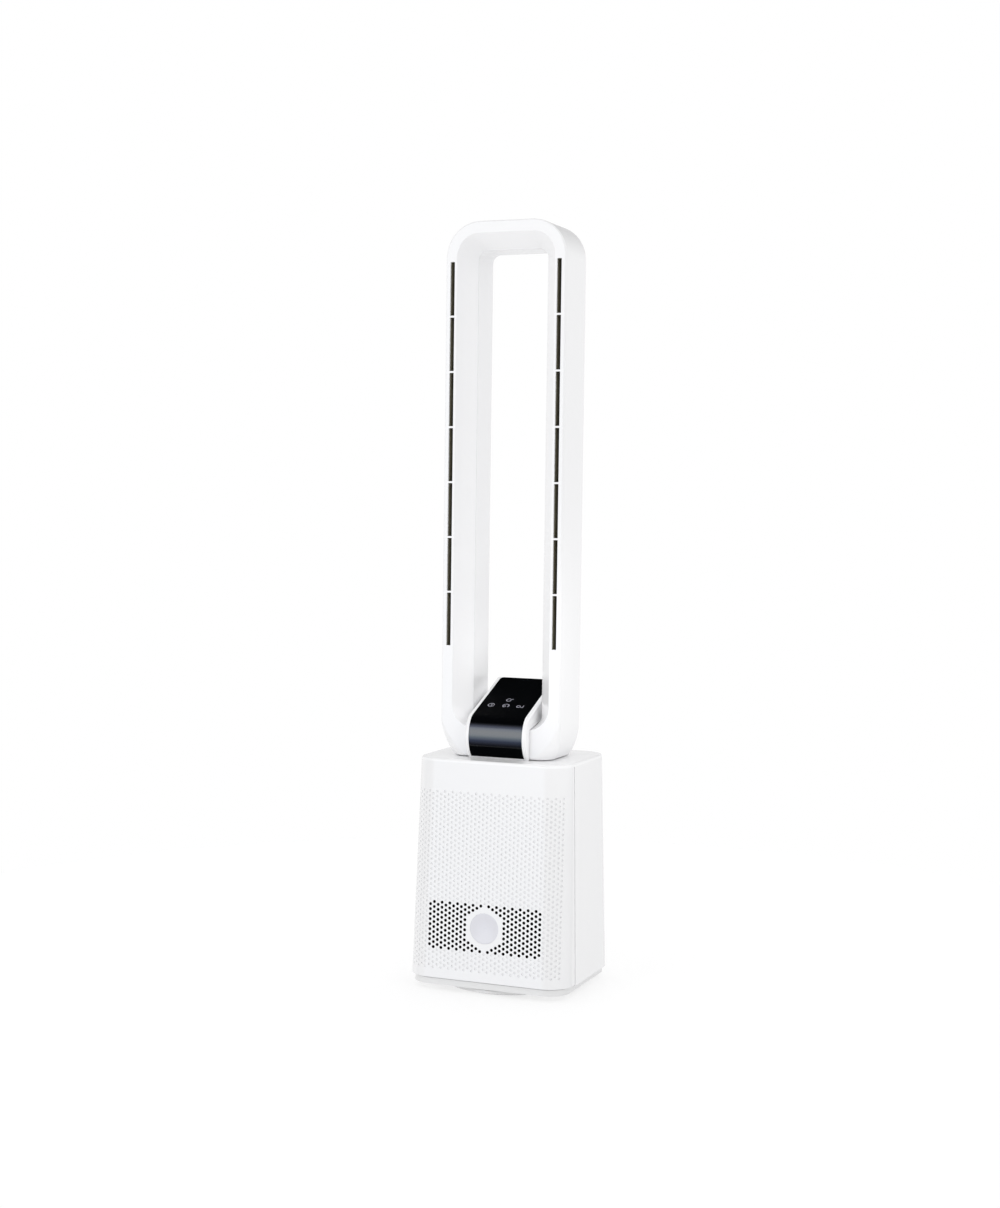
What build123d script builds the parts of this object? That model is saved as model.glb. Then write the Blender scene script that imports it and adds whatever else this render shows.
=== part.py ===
"""Bladeless tower fan: an oscillating air loop on a tapered base, every piece a solid.

Millimetres. Origin on the floor, on the turning axis. +X right, front is -Y, +Z up.
"""

import os
from math import atan, cos, degrees, pi, radians, sin, sqrt, tan

from build123d import *

# ---- fits -------------------------------------------------------------------
GAP = 0.2              # clearance between fixed pieces
SLIDE = 0.3            # clearance round the lift-off cover
RUN = 0.05             # radial clearance of shafts in bearings
SEAT = 0.02            # radial clearance of pieces pushed on a shaft

# ---- base housing -----------------------------------------------------------
BASE_W_LOW, BASE_W_TOP = 204.0, 194.0
BASE_D_LOW, BASE_D_TOP = 172.0, 152.0
BASE_Z0, BASE_Z1 = 15.5, 277.0
BASE_R = 30.0
WALL = 2.6
SEAM_Y = -45.5         # joint between front cover and side shell
SEAM = 0.3
LIP = 2.0              # thickness of the tongue behind the seam
SIDE_Z0 = 13.7         # side shell reaches a little lower than the front cover
DECK_T = 3.5           # top deck thickness
DECK_EDGE_R = 2.5
RIM_H = 8.0            # locating rim under the deck and above the tray
RIM_T = 2.2

# ---- foot and turntable -----------------------------------------------------
FOOT_R, FOOT_T = 78.5, 5.5
FOOT_EDGE_R = 1.2
PAD_R, PAD_W, PAD_H, PAD_SINK = 71.0, 7.0, 2.0, 0.8
BALLAST_R, BALLAST_T = 62.0, 1.8
PLINTH_IN, PLINTH_Z0, PLINTH_T = 4.0, 6.5, 2.6
GROOVE_Z0, GROOVE_Z1, GROOVE_IN = 14.2, 15.6, 5.4     # shadow line over the plinth
TRAY_Z0, TRAY_T = 14.0, 3.0
RACE_R, RACE_W, RACE_T = 61.0, 10.0, 1.6
ROLLER_N, ROLLER_R, ROLLER_L, ROLLER_GAP = 8, 1.9, 8.0, 0.1
CAGE_T, CAGE_W = 1.6, 12.0
SPINDLE_R, SPINDLE_BORE, SPINDLE_FLANGE_R, SPINDLE_FLANGE_T = 10.0, 7.0, 22.0, 2.0
BUSH_R, BUSH_FLANGE_R, BUSH_FLANGE_T = 13.0, 17.0, 2.0
NUT_R, NUT_T = 17.0, 4.0
GEAR_MODULE, RING_TEETH, PINION_TEETH = 1.5, 50, 10
GEAR_FACE, RING_BORE = 6.0, 30.0
TOOTH_TALL, TOOTH_DEEP, TOOTH_THIN, FLANK = 0.7, 1.05, 0.42, 22.0

# ---- oscillation drive and boards ------------------------------------------
OSC_MOTOR_R, OSC_MOTOR_H, OSC_SHAFT_R, OSC_SHAFT_GRIP = 21.0, 13.0, 2.5, 4.0
OSC_EAR_W, OSC_EAR_T = 10.0, 2.0
BOARD_T = 1.6
BOARD_W, BOARD_D, BOARD_IN, STANDOFF_H = 50.0, 84.0, 51.0, 10.0
POST_IN_X, POST_IN_Y, POST_R = 16.0, 46.0, 5.0   # in from the outside of the base
SCREW_R, SCREW_HEAD_R, SCREW_HEAD_T = 1.5, 3.0, 1.8

# ---- fan --------------------------------------------------------------------
FAN_Y = -9.0           # fan axis, also the middle of the loop
CARRIER_Z, CARRIER_T, CARRIER_R, CARRIER_HOLE = 112.0, 3.0, 60.0, 50.0
MOUNT_R, MOUNT_T = 4.0, 3.0
SHROUD_R, SHROUD_T, SHROUD_H, MOUTH_R, MOUTH_H = 52.5, 2.5, 98.0, 58.5, 10.0
BLADES, BLADE_CHORD, BLADE_T, TIP_GAP = 7, 36.0, 2.0, 0.8
BLADE_ROOT_TURN, BLADE_TIP_TURN = 38.0, 62.0
HUB_R, HUB_H, HUB_WALL = 24.0, 34.0, 2.5
HUB_Z = 134.0
VANES, VANE_T, VANE_TURN, VANE_H = 9, 1.6, -24.0, 34.0
POD_Z, POD_T, POD_RING_T = 172.0, 2.0, 2.0
MOTOR_R, MOTOR_H, SHAFT_R, BEARING_R, BEARING_T = 18.0, 28.0, 3.0, 6.5, 4.0

# ---- neck -------------------------------------------------------------------
NECK_W, NECK_D, NECK_R, NECK_WALL = 64.0, 45.0, 12.0, 2.2
NECK_COLLAR, NECK_BEND_Z, CONE_TOP_R = 8.0, 258.0, 37.0
SEAL_T, SEAL_W = 2.0, 3.0
LOOP_LIFT = 0.6        # loop above the deck; the seal lies in a groove

# ---- loop -------------------------------------------------------------------
LOOP_TOP = 915.0
LOOP_W, LOOP_D = 152.5, 70.0
LOOP_R_TOP, LOOP_WALL, LOOP_EDGE_R = 43.0, 2.5, 2.0
HEEL_Z, HEEL_R, HEEL_CORNER = 318.0, 71.0, 20.0        # lower end, drawn in to the deck
HEEL_RINGS, HEEL_EDGE_R = 5, 3.0
BAND_W, BAND_LOW, BAND_R = 14.0, 34.8, 28.0      # flat front, taller at the bottom
THROAT_W, THROAT_IN_TOP, THROAT_IN_LOW = 89.0, 32.0, 39.4
THROAT_SET, THROAT_R = 24.7, 11.0
CREASE_GAP = 0.6
SLOT_X, SLOT_W, SLOT_N, SLOT_PITCH, SLOT_RIB, SLOT_Z0 = 67.8, 5.6, 7, 65.7, 2.2, 408.9
NOZZLE_WALL, NOZZLE_D = 1.2, 12.0
LOOP_SCREW_X, LOOP_SCREW_IN, BOSS_R, BOSS_H = 28.5, 4.5, 3.5, 9.0
SPLIT_W, SPLIT_H, SPLIT_D = 60.0, 26.0, 36.0

# ---- console ----------------------------------------------------------------
CONSOLE_W, CONSOLE_EDGE_R = 78.0, 2.2
PANEL_W, PANEL_T, PANEL_CORNER, PANEL_GLUE = 68.0, 1.6, 4.5, 0.1
BULGE_R, BULGE_Y, BULGE_Z = 34.9, -22.9, 302.8
RAMP_Y, RAMP_Z, RAMP_SLOPE = -42.0, 329.8, 22.8
RAMP_BLEND, CONSOLE_BACK_Y, CONSOLE_BACK_R = 18.0, 47.5, 2.5
PANEL_TOP_Y, PANEL_LIFT = 44.5, 0.4
CONSOLE_WALL, SADDLE_GAP = 2.4, 0.7
TOUCH_BOARD_W, TOUCH_BOARD_Y0, TOUCH_BOARD_Y1 = 60.0, -36.0, 32.0
CONSOLE_SCREW_X, CONSOLE_SCREW_Y = 24.0, 36.0

# ---- front window -----------------------------------------------------------
HOLE_R, HOLE_X, HOLE_Z, HOLE_COLS = 1.65, 5.0, 6.0, 14
HOLE_ROWS_ODD, HOLE_TOP_ODD, HOLE_ROWS_EVEN, HOLE_TOP_EVEN = 10, 106.0, 9, 103.0
LENS_Z, LENS_R, LENS_SINK, LENS_FLANGE, LENS_CLEAR = 79.5, 18.0, 0.4, 3.0, 25.0
DISH_R, DISH_DEEP = 16.6, 2.0          # hollow in the front of the lens
SCREEN_MARGIN, SCREEN_H, SCREEN_T = 2.0, 62.0, 1.0
DISPLAY_W, DISPLAY_H, DISPLAY_UP, DISPLAY_BACK = 64.0, 62.0, 12.0, 8.0
DISPLAY_BOSS_X, DISPLAY_BOSS_UP = 24.0, 35.0

# ---- rear intake ------------------------------------------------------------
COVER_W, COVER_H, COVER_R, COVER_Z = 124.0, 176.0, 10.0, 132.0
LEDGE = 4.0
LOUVRE_W, LOUVRE_H, LOUVRE_COLS, LOUVRE_ROWS, LOUVRE_GAP_X, LOUVRE_PITCH = 32.0, 4.0, 3, 18, 4.0, 8.6
COVER_RIM_D, COVER_RIM_T = 6.0, 2.0
FILTER_T, FILTER_D, PLEATS, PLEAT_T = 3.0, 12.0, 12, 1.2
GLAND_X, GLAND_Z, GLAND_R, GLAND_BORE, GLAND_FLANGE_R, GLAND_SUNK = 40.0, 31.0, 4.5, 2.4, 6.5, 1.0

# ---- derived ----------------------------------------------------------------
LOOP_Z0 = BASE_Z1 + LOOP_LIFT
LOOP_Y0, LOOP_Y1 = FAN_Y - LOOP_D / 2, FAN_Y + LOOP_D / 2
THROAT_Y = LOOP_Y0 + THROAT_SET
THROAT_Z0 = LOOP_Z0 + THROAT_IN_LOW
SHROUD_Z = CARRIER_Z + CARRIER_T + MOUNT_T
SHROUD_TOP = SHROUD_Z + SHROUD_H
RING_PITCH_R = GEAR_MODULE * RING_TEETH / 2
PINION_PITCH_R = GEAR_MODULE * PINION_TEETH / 2
PINION_X = RING_PITCH_R + PINION_PITCH_R
TRAY_TOP = TRAY_Z0 + TRAY_T
POST_X, POST_Y = BASE_W_LOW / 2 - POST_IN_X, BASE_D_LOW / 2 - POST_IN_Y
BOARD_X = BOARD_IN - BASE_W_LOW / 2
LEAN = degrees(atan((BASE_D_LOW - BASE_D_TOP) / 2 / (BASE_Z1 - BASE_Z0)))
LOOP_SCREWS = [(sx * LOOP_SCREW_X, y) for sx in (-1, 1)
               for y in (LOOP_Y0 + LOOP_SCREW_IN, LOOP_Y1 - LOOP_WALL - LOOP_SCREW_IN + 0.5)]
POSTS = [(sx * POST_X, sy * POST_Y) for sx in (-1, 1) for sy in (-1, 1)]
BOARD_HOLES = [(BOARD_X + sx * (BOARD_W / 2 - 5), sy * (BOARD_D / 2 - 5))
               for sx in (-1, 1) for sy in (-1, 1)]
FOOT_HOLES = [(16 * cos(radians(a)), 16 * sin(radians(a))) for a in (45, 135, 225, 315)]
GEAR_HOLES = [(33.2 * cos(radians(a)), 33.2 * sin(radians(a))) for a in (90, 210, 330)]


# ---- helpers ----------------------------------------------------------------
def box(x0, x1, y0, y1, z0, z1):
    return Pos((x0 + x1) / 2, (y0 + y1) / 2, (z0 + z1) / 2) * Box(x1 - x0, y1 - y0, z1 - z0)


def disc(r, z0, z1, x=0.0, y=0.0):
    return Pos(x, y, (z0 + z1) / 2) * Cylinder(r, z1 - z0)


def tube(r_out, r_in, z0, z1, x=0.0, y=0.0):
    return disc(r_out, z0, z1, x, y) - disc(r_in, z0, z1, x, y)


def discs(r, z0, z1, places):
    return Part() + [disc(r, z0, z1, x, y) for x, y in places]


def base_size(z, inset=0.0):
    t = (z - BASE_Z0) / (BASE_Z1 - BASE_Z0)
    return (BASE_W_LOW + (BASE_W_TOP - BASE_W_LOW) * t - 2 * inset,
            BASE_D_LOW + (BASE_D_TOP - BASE_D_LOW) * t - 2 * inset)


def base_solid(z0, z1, inset=0.0):
    """Slice of the tapered rounded box of the base, drawn in by inset."""
    rings = []
    for z in (z0, z1):
        w, d = base_size(z, inset)
        rings.append(Pos(0, 0, z) * RectangleRounded(w, d, BASE_R - inset))
    return loft(rings, ruled=True)


def base_ring(z0, z1, inset, thick):
    return base_solid(z0, z1, inset) - base_solid(z0, z1, inset + thick)


def front_plane(z):
    """Plane on the leaning front face at height z, local y up the face."""
    a = radians(LEAN)
    return Plane((0, -base_size(z)[1] / 2, z), x_dir=(1, 0, 0), z_dir=(0, -cos(a), sin(a)))


def rear_plane(z):
    a = radians(LEAN)
    return Plane((0, base_size(z)[1] / 2, z), x_dir=(-1, 0, 0), z_dir=(0, cos(a), sin(a)))


def slab(plane, sketch, depth0, depth1):
    """Sketch on a face plane, from depth0 to depth1 behind that face."""
    return extrude(plane.offset(-depth0) * sketch, -(depth1 - depth0))


def loop_slab(sketch, y0, y1):
    """Loop section drawn in X and Z, from y0 back to y1."""
    return extrude(Plane((0, y0, 0), x_dir=(1, 0, 0), z_dir=(0, -1, 0)) * sketch, -(y1 - y0))


def inner_outline(half_w, z0, z1, r):
    s = Pos(0, (z0 + z1) / 2) * Rectangle(2 * half_w, z1 - z0)
    return fillet(s.vertices(), r)


def heel_in(z):
    """How far the side of the loop is drawn in at height z, along an arc from HEEL_Z down."""
    drop = max(HEEL_Z - z, 0)
    return HEEL_R - sqrt(HEEL_R ** 2 - drop ** 2)


def outer_outline(inset=0.0):
    w, z0, z1 = LOOP_W / 2 - inset, LOOP_Z0 + inset, LOOP_TOP - inset
    heel = [(w - heel_in(z), z) for z in (z0, (z0 + HEEL_Z) / 2, HEEL_Z)]
    right = ThreePointArc(*heel)
    left = ThreePointArc(*[(-x, z) for x, z in reversed(heel)])
    top = Polyline(heel[-1], (w, z1), (-w, z1), (-w, HEEL_Z))
    s = make_face([right, *top.edges(), left, Line((-heel[0][0], z0), heel[0])])
    return fillet(s.vertices().group_by(Axis.Y)[-1], LOOP_R_TOP - inset)


def heel_solid(inset=0.0):
    """Lower end of the loop up to HEEL_Z, its front corners rounder towards the deck."""
    z0, y0, y1 = LOOP_Z0 + inset, LOOP_Y0 + inset, LOOP_Y1 + LOOP_D
    rings = []
    for i in range(HEEL_RINGS + 1):
        z = z0 + (HEEL_Z - z0) * i / HEEL_RINGS
        share = (HEEL_Z - z) / (HEEL_Z - LOOP_Z0)
        r = LOOP_EDGE_R + (HEEL_CORNER - LOOP_EDGE_R) * share - inset * share
        width = LOOP_W - 2 * heel_in(z) - 2 * inset
        rings.append(Pos(0, (y0 + y1) / 2, z) * RectangleRounded(width, y1 - y0, r))
    body = loft(rings)
    if not inset:
        body = fillet(body.faces().sort_by(Axis.Z)[0].edges(), HEEL_EDGE_R)
    return body & box(-LOOP_W, LOOP_W, y0 - 1, LOOP_Y1 - LOOP_WALL, 0, HEEL_Z + 1)


def band_outline(grow=0.0):
    return inner_outline(LOOP_W / 2 - BAND_W + grow, LOOP_Z0 + BAND_LOW - grow,
                         LOOP_TOP - BAND_W + grow, BAND_R + grow)


def throat_outline(grow=0.0):
    return inner_outline(THROAT_W / 2 + grow, THROAT_Z0 - grow,
                         LOOP_TOP - THROAT_IN_TOP + grow, THROAT_R + grow)


def funnel(grow=0.0):
    """Slanted air-guiding surface from the front band back to the throat."""
    planes = [Plane((0, y, 0), x_dir=(1, 0, 0), z_dir=(0, -1, 0)) for y in (LOOP_Y0, THROAT_Y)]
    return loft([planes[0] * band_outline(grow), planes[1] * throat_outline(grow)], ruled=True)


def gear(teeth, bore, z0, z1, x=0.0, turn=0.0, phase=0.0):
    """Straight-flanked spur gear, thinned for backlash."""
    m = GEAR_MODULE
    r, half = m * teeth / 2, TOOTH_THIN * pi * m / 2
    r_tip, r_root = r + TOOTH_TALL * m, r - TOOTH_DEEP * m
    tip = half - TOOTH_TALL * m * tan(radians(FLANK))
    foot = half + TOOTH_DEEP * m * tan(radians(FLANK))
    points = []
    for i in range(teeth):
        a = radians(phase) + 2 * pi * i / teeth
        for rr, w in ((r_root, -foot), (r_tip, -tip), (r_tip, tip), (r_root, foot)):
            b = a + w / rr
            points.append((rr * cos(b), rr * sin(b)))
    wheel = extrude(Pos(0, 0, z0) * make_face(Polyline(*points, close=True)), z1 - z0)
    return Pos(x, 0, 0) * Rot(0, 0, turn) * (wheel - disc(bore, z0, z1))


def screw(x, y, head_z, shank_to):
    """Hex-headed screw whose head bears at head_z, shank running to shank_to."""
    way = 1 if shank_to > head_z else -1
    head = extrude(Pos(x, y, head_z) * RegularPolygon(SCREW_HEAD_R, 6), -way * SCREW_HEAD_T)
    shank = disc(SCREW_R, min(head_z, shank_to), max(head_z, shank_to), x, y)
    return head + shank


def radial_blade(r0, r1, z_mid, chord, thick, turn0, turn1):
    """Twisted blade standing out along +X between two radii."""
    cuts = []
    for r, turn in ((r0, turn0), (r1, turn1)):
        plane = Plane((r, 0, z_mid), x_dir=(0, 1, 0), z_dir=(1, 0, 0))
        cuts.append(plane * Rot(0, 0, 90 - turn) * Rectangle(chord, thick))
    return loft(cuts, ruled=True)


# ---- foot and turntable -----------------------------------------------------
def foot_disc():
    body = disc(FOOT_R, PAD_H - PAD_SINK, FOOT_T)
    body = fillet(body.edges().sort_by(Axis.Z)[-1], FOOT_EDGE_R)
    z0 = PAD_H - PAD_SINK
    body -= disc(BALLAST_R + GAP, z0, z0 + BALLAST_T)
    body -= tube(PAD_R + PAD_W / 2 + GAP, PAD_R - PAD_W / 2 - GAP, z0, PAD_H)
    return body - discs(SCREW_R + GAP, 0, FOOT_T, FOOT_HOLES + GEAR_HOLES)


def foot_pad():
    return tube(PAD_R + PAD_W / 2, PAD_R - PAD_W / 2, 0, PAD_H)


def ballast_plate():
    z0 = PAD_H - PAD_SINK
    plate = disc(BALLAST_R, z0, z0 + BALLAST_T)
    return plate - discs(SCREW_R + GAP, 0, FOOT_T, FOOT_HOLES + GEAR_HOLES)


def ring_gear():
    wheel = gear(RING_TEETH, RING_BORE, FOOT_T, FOOT_T + GEAR_FACE)
    return wheel - discs(SCREW_R, FOOT_T, FOOT_T + GEAR_FACE - 1, GEAR_HOLES)


def spindle():
    body = disc(SPINDLE_FLANGE_R, FOOT_T, FOOT_T + SPINDLE_FLANGE_T)
    body += disc(SPINDLE_R, FOOT_T, TRAY_TOP + BUSH_FLANGE_T + SLIDE + NUT_T + 1.5)
    body -= disc(SPINDLE_BORE, 0, 60)
    return body - discs(SCREW_R, 0, 20, FOOT_HOLES)


def spindle_nut():
    z0 = TRAY_TOP + BUSH_FLANGE_T + SLIDE
    return (extrude(Pos(0, 0, z0) * RegularPolygon(NUT_R, 6), NUT_T)
            - disc(SPINDLE_R + SEAT, z0, z0 + NUT_T))


def foot_screws():
    z = PAD_H - PAD_SINK
    inner = [screw(x, y, z, FOOT_T + SPINDLE_FLANGE_T - 0.2) for x, y in FOOT_HOLES]
    outer = [screw(x, y, z, FOOT_T + 3.5) for x, y in GEAR_HOLES]
    lift = Part() + inner + outer
    return lift - disc(FOOT_R, -5, z - SCREW_HEAD_T / 2)


def lower_race():
    return tube(RACE_R + RACE_W / 2, RACE_R - RACE_W / 2, FOOT_T, FOOT_T + RACE_T)


def roller_z():
    return FOOT_T + RACE_T + ROLLER_GAP + ROLLER_R


def upper_race():
    z0 = roller_z() + ROLLER_R + ROLLER_GAP
    return tube(RACE_R + RACE_W / 2, RACE_R - RACE_W / 2, z0, TRAY_Z0)


def rollers():
    one = Pos(RACE_R, 0, roller_z()) * Rot(0, 90, 0) * Cylinder(ROLLER_R, ROLLER_L)
    return Part() + [Rot(0, 0, 360 / ROLLER_N * i + 11) * one for i in range(ROLLER_N)]


def roller_cage():
    z = roller_z()
    ring = tube(RACE_R + CAGE_W / 2, RACE_R - CAGE_W / 2, z - CAGE_T / 2, z + CAGE_T / 2)
    pocket = Pos(RACE_R, 0, z) * Box(ROLLER_L + 2 * GAP, 2 * ROLLER_R + 2 * GAP, CAGE_T)
    return ring - [Rot(0, 0, 360 / ROLLER_N * i + 11) * pocket for i in range(ROLLER_N)]


# ---- tray, drive and electronics -------------------------------------------
def bottom_tray():
    plinth = base_solid(PLINTH_Z0, TRAY_TOP, PLINTH_IN)
    plinth -= base_solid(PLINTH_Z0, TRAY_Z0, PLINTH_IN + PLINTH_T)
    rim = base_ring(TRAY_Z0, TRAY_TOP + RIM_H, WALL + GAP, RIM_T)
    rim += base_solid(TRAY_Z0, TRAY_TOP, WALL + GAP)
    body = plinth + rim + discs(POST_R, TRAY_Z0, CARRIER_Z, POSTS)
    body += discs(BOSS_R, TRAY_Z0, TRAY_TOP + STANDOFF_H, BOARD_HOLES)
    body -= base_ring(GROOVE_Z0, GROOVE_Z1, 0, GROOVE_IN)
    body -= disc(BUSH_R, TRAY_Z0 - 1, TRAY_TOP + 1)
    body -= disc(PINION_PITCH_R + 2, TRAY_Z0 - 1, TRAY_TOP + 1, PINION_X)
    body -= discs(SCREW_R, CARRIER_Z - 12, CARRIER_Z, POSTS)
    return body - discs(SCREW_R, TRAY_TOP + 2, TRAY_TOP + STANDOFF_H, BOARD_HOLES)


def tray_bush():
    body = disc(BUSH_R - RUN, TRAY_Z0 - 3, TRAY_TOP)
    body += disc(BUSH_FLANGE_R, TRAY_TOP, TRAY_TOP + BUSH_FLANGE_T)
    return body - disc(SPINDLE_R + RUN, 0, 60)


def oscillation_pinion():
    z0 = FOOT_T + GAP
    wheel = gear(PINION_TEETH, 0.01, z0, z0 + GEAR_FACE, PINION_X, 0, 180 / PINION_TEETH)
    return wheel + disc(OSC_SHAFT_R, z0, TRAY_TOP + 1 + OSC_SHAFT_GRIP, PINION_X)


def oscillation_motor():
    z0 = TRAY_TOP
    body = disc(OSC_MOTOR_R, z0 + 1, z0 + 1 + OSC_MOTOR_H, PINION_X)
    body = fillet(body.edges().sort_by(Axis.Z)[-1], 1.5)
    reach = OSC_MOTOR_R + OSC_EAR_W
    body += box(PINION_X - 6, PINION_X + 6, -reach, reach, z0, z0 + OSC_EAR_T)
    body += box(PINION_X, PINION_X + OSC_MOTOR_R + 5, -7, 7, z0 + 3, z0 + 10)
    body -= disc(OSC_SHAFT_R + RUN, z0, z0 + 1 + OSC_SHAFT_GRIP + 0.5, PINION_X)
    return body - discs(SCREW_R + 0.1, z0, z0 + OSC_EAR_T, motor_holes())


def motor_holes():
    return [(PINION_X, sy * (OSC_MOTOR_R + OSC_EAR_W - 4)) for sy in (-1, 1)]


def tray_screws():
    """Screws of the drive, the board and the fan carrier."""
    drive = [screw(x, y, TRAY_TOP + OSC_EAR_T, TRAY_TOP) for x, y in motor_holes()]
    board_z = TRAY_TOP + STANDOFF_H + BOARD_T
    board = [screw(x, y, board_z, board_z - 7) for x, y in BOARD_HOLES]
    top = CARRIER_Z + CARRIER_T
    return Part() + drive + board + [screw(x, y, top, top - 10) for x, y in POSTS]


def main_board():
    z = TRAY_TOP + STANDOFF_H
    x, w, d = BOARD_X, BOARD_W, BOARD_D
    body = box(x - w / 2, x + w / 2, -d / 2, d / 2, z, z + BOARD_T)
    body -= discs(SCREW_R + 0.1, z, z + BOARD_T, BOARD_HOLES)
    body += box(x - 16, x + 12, -22, 4, z + BOARD_T, z + 20)
    body += disc(6, z + BOARD_T, z + 22, x - 8, 18)
    return body + box(x - 4, x + 18, 12, 24, z + BOARD_T, z + 12)


# ---- fan unit ---------------------------------------------------------------
def fan_carrier():
    z0, z1 = CARRIER_Z, CARRIER_Z + CARRIER_T
    body = disc(CARRIER_R, z0, z1, 0, FAN_Y)
    for x, y in POSTS:
        body += box(min(0, x), max(0, x), y - POST_R, y + POST_R, z0, z1)
        body += disc(POST_R, z0, z1, x, y)
    body -= disc(CARRIER_HOLE, z0, z1, 0, FAN_Y)
    return body - discs(SCREW_R + 0.1, z0, z1, POSTS)


def mount_places():
    r = (CARRIER_HOLE + CARRIER_R) / 2
    return [(r * cos(radians(a)), FAN_Y + r * sin(radians(a))) for a in (0, 90, 180, 270)]


def fan_mounts():
    z0 = CARRIER_Z + CARRIER_T
    return discs(MOUNT_R, z0, z0 + MOUNT_T, mount_places())


def shroud():
    """Fan housing: bellmouth below, straight barrel above."""
    r, t, z0 = SHROUD_R, SHROUD_T, SHROUD_Z
    inner = ThreePointArc((MOUTH_R, z0), (r + 0.3 * (MOUTH_R - r), z0 + 0.3 * MOUTH_H),
                          (r, z0 + MOUTH_H))
    rest = Polyline((r, z0 + MOUTH_H), (r, SHROUD_TOP), (r + t, SHROUD_TOP),
                    (r + t, z0 + MOUTH_H), (MOUTH_R - 0.5, z0 + t), (CARRIER_R, z0 + t),
                    (CARRIER_R, z0), (MOUTH_R, z0))
    return Pos(0, FAN_Y, 0) * revolve(Plane.XZ * make_face([inner, *rest.edges()]), Axis.Z)


def guide_vanes():
    r_in = SHROUD_R - GAP / 2
    z_mid = POD_Z + VANE_H / 2
    z_top = POD_Z + VANE_H
    blade = radial_blade(HUB_R - 1, r_in + 6, z_mid, VANE_H / cos(radians(VANE_TURN)) - 2,
                         VANE_T, VANE_TURN, VANE_TURN)
    vanes = Part() + [Rot(0, 0, 360 / VANES * i) * blade for i in range(VANES)]
    vanes &= disc(r_in - POD_RING_T / 2, POD_Z, z_top)
    vanes += tube(r_in, r_in - POD_RING_T, POD_Z, z_top)
    pod = disc(HUB_R, POD_Z, z_top) + Pos(0, 0, z_top) * Cone(
        HUB_R, HUB_R / 2, 8, align=(Align.CENTER, Align.CENTER, Align.MIN))
    room = disc(HUB_R - POD_T, POD_Z + POD_T, z_top)
    return Pos(0, FAN_Y, 0) * (vanes + pod - room - disc(SHAFT_R + 0.6, POD_Z - 1, POD_Z + 5))


def fan_motor():
    z0, z1 = POD_Z + POD_T, POD_Z + POD_T + MOTOR_H
    body = disc(MOTOR_R, z0, z1, 0, FAN_Y)
    body -= disc(BEARING_R + SEAT, z0, z0 + BEARING_T, 0, FAN_Y)
    body -= disc(BEARING_R + SEAT, z1 - BEARING_T, z1, 0, FAN_Y)
    return body - disc(SHAFT_R + 0.4, z0, z1, 0, FAN_Y)


def motor_bearings():
    z0, z1 = POD_Z + POD_T, POD_Z + POD_T + MOTOR_H
    one = tube(BEARING_R, SHAFT_R + RUN, z0, z0 + BEARING_T, 0, FAN_Y)
    return Part() + [one, Pos(0, 0, z1 - z0 - BEARING_T) * one]


def motor_shaft():
    return disc(SHAFT_R, HUB_Z - 6, POD_Z + POD_T + MOTOR_H - 0.5, 0, FAN_Y)


def impeller():
    """Mixed-flow rotor: domed hub with twisted blades."""
    nose = 12.0
    z0, z1 = HUB_Z, HUB_Z + HUB_H
    dome = ThreePointArc((8, z0), (HUB_R - 5, z0 + nose * 0.4), (HUB_R, z0 + nose))
    rest = Polyline((HUB_R, z0 + nose), (HUB_R, z1), (HUB_R - HUB_WALL, z1),
                    (HUB_R - HUB_WALL, z0 + nose + 4), (7, z0 + nose), (7, z1 - 2),
                    (SHAFT_R + SEAT, z1 - 2), (SHAFT_R + SEAT, z0), (8, z0))
    hub = revolve(Plane.XZ * make_face([dome, *rest.edges()]), Axis.Z)
    z_mid = z0 + nose + (HUB_H - nose) / 2 - 1
    r_tip = SHROUD_R - TIP_GAP
    blade = radial_blade(HUB_R - 1, r_tip + 5, z_mid, BLADE_CHORD * 0.8, BLADE_T,
                         BLADE_ROOT_TURN, BLADE_TIP_TURN)
    blades = Part() + [Rot(0, 0, 360 / BLADES * i) * blade for i in range(BLADES)]
    blades &= disc(r_tip, z0, z1) - disc(HUB_R - 0.8, z0, z1)
    return Pos(0, FAN_Y, 0) * (hub + blades)


def impeller_nut():
    z1 = HUB_Z
    return (extrude(Pos(0, FAN_Y, z1 - 5) * RegularPolygon(6, 6), 5)
            - disc(SHAFT_R + SEAT, z1 - 5, z1, 0, FAN_Y))


def neck_duct():
    """Cone from the round barrel in to the oblong neck, with a collar round the barrel."""
    r, t, z0, z1 = SHROUD_R + SHROUD_T + SLIDE, NECK_WALL, SHROUD_TOP + GAP, NECK_BEND_Z
    points = [(r, z0 - NECK_COLLAR), (r, z0), (CONE_TOP_R, z1 - t), (0, z1 - t), (0, z1),
              (CONE_TOP_R + t, z1), (r + t, z0), (r + t, z0 - NECK_COLLAR)]
    cone = revolve(Plane.XZ * make_face(Polyline(*points, close=True)), Axis.Z)
    oval = RectangleRounded(NECK_W, NECK_D, NECK_R)
    bore = RectangleRounded(NECK_W - 2 * t, NECK_D - 2 * t, NECK_R - t)
    top = LOOP_Z0 + LOOP_WALL
    cone += extrude(Pos(0, 0, z1 - t / 2) * oval, top - z1 + t / 2)
    return Pos(0, FAN_Y, 0) * (cone - extrude(Pos(0, 0, z1 - t) * bore, top - z1 + t))


def neck_seal():
    w, d = NECK_W + 2 * GAP, NECK_D + 2 * GAP
    ring = RectangleRounded(w + 2 * SEAL_W, d + 2 * SEAL_W, NECK_R + SEAL_W)
    ring -= RectangleRounded(w, d, NECK_R)
    return extrude(Pos(0, FAN_Y, LOOP_Z0 - SEAL_T) * ring, SEAL_T)


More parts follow.
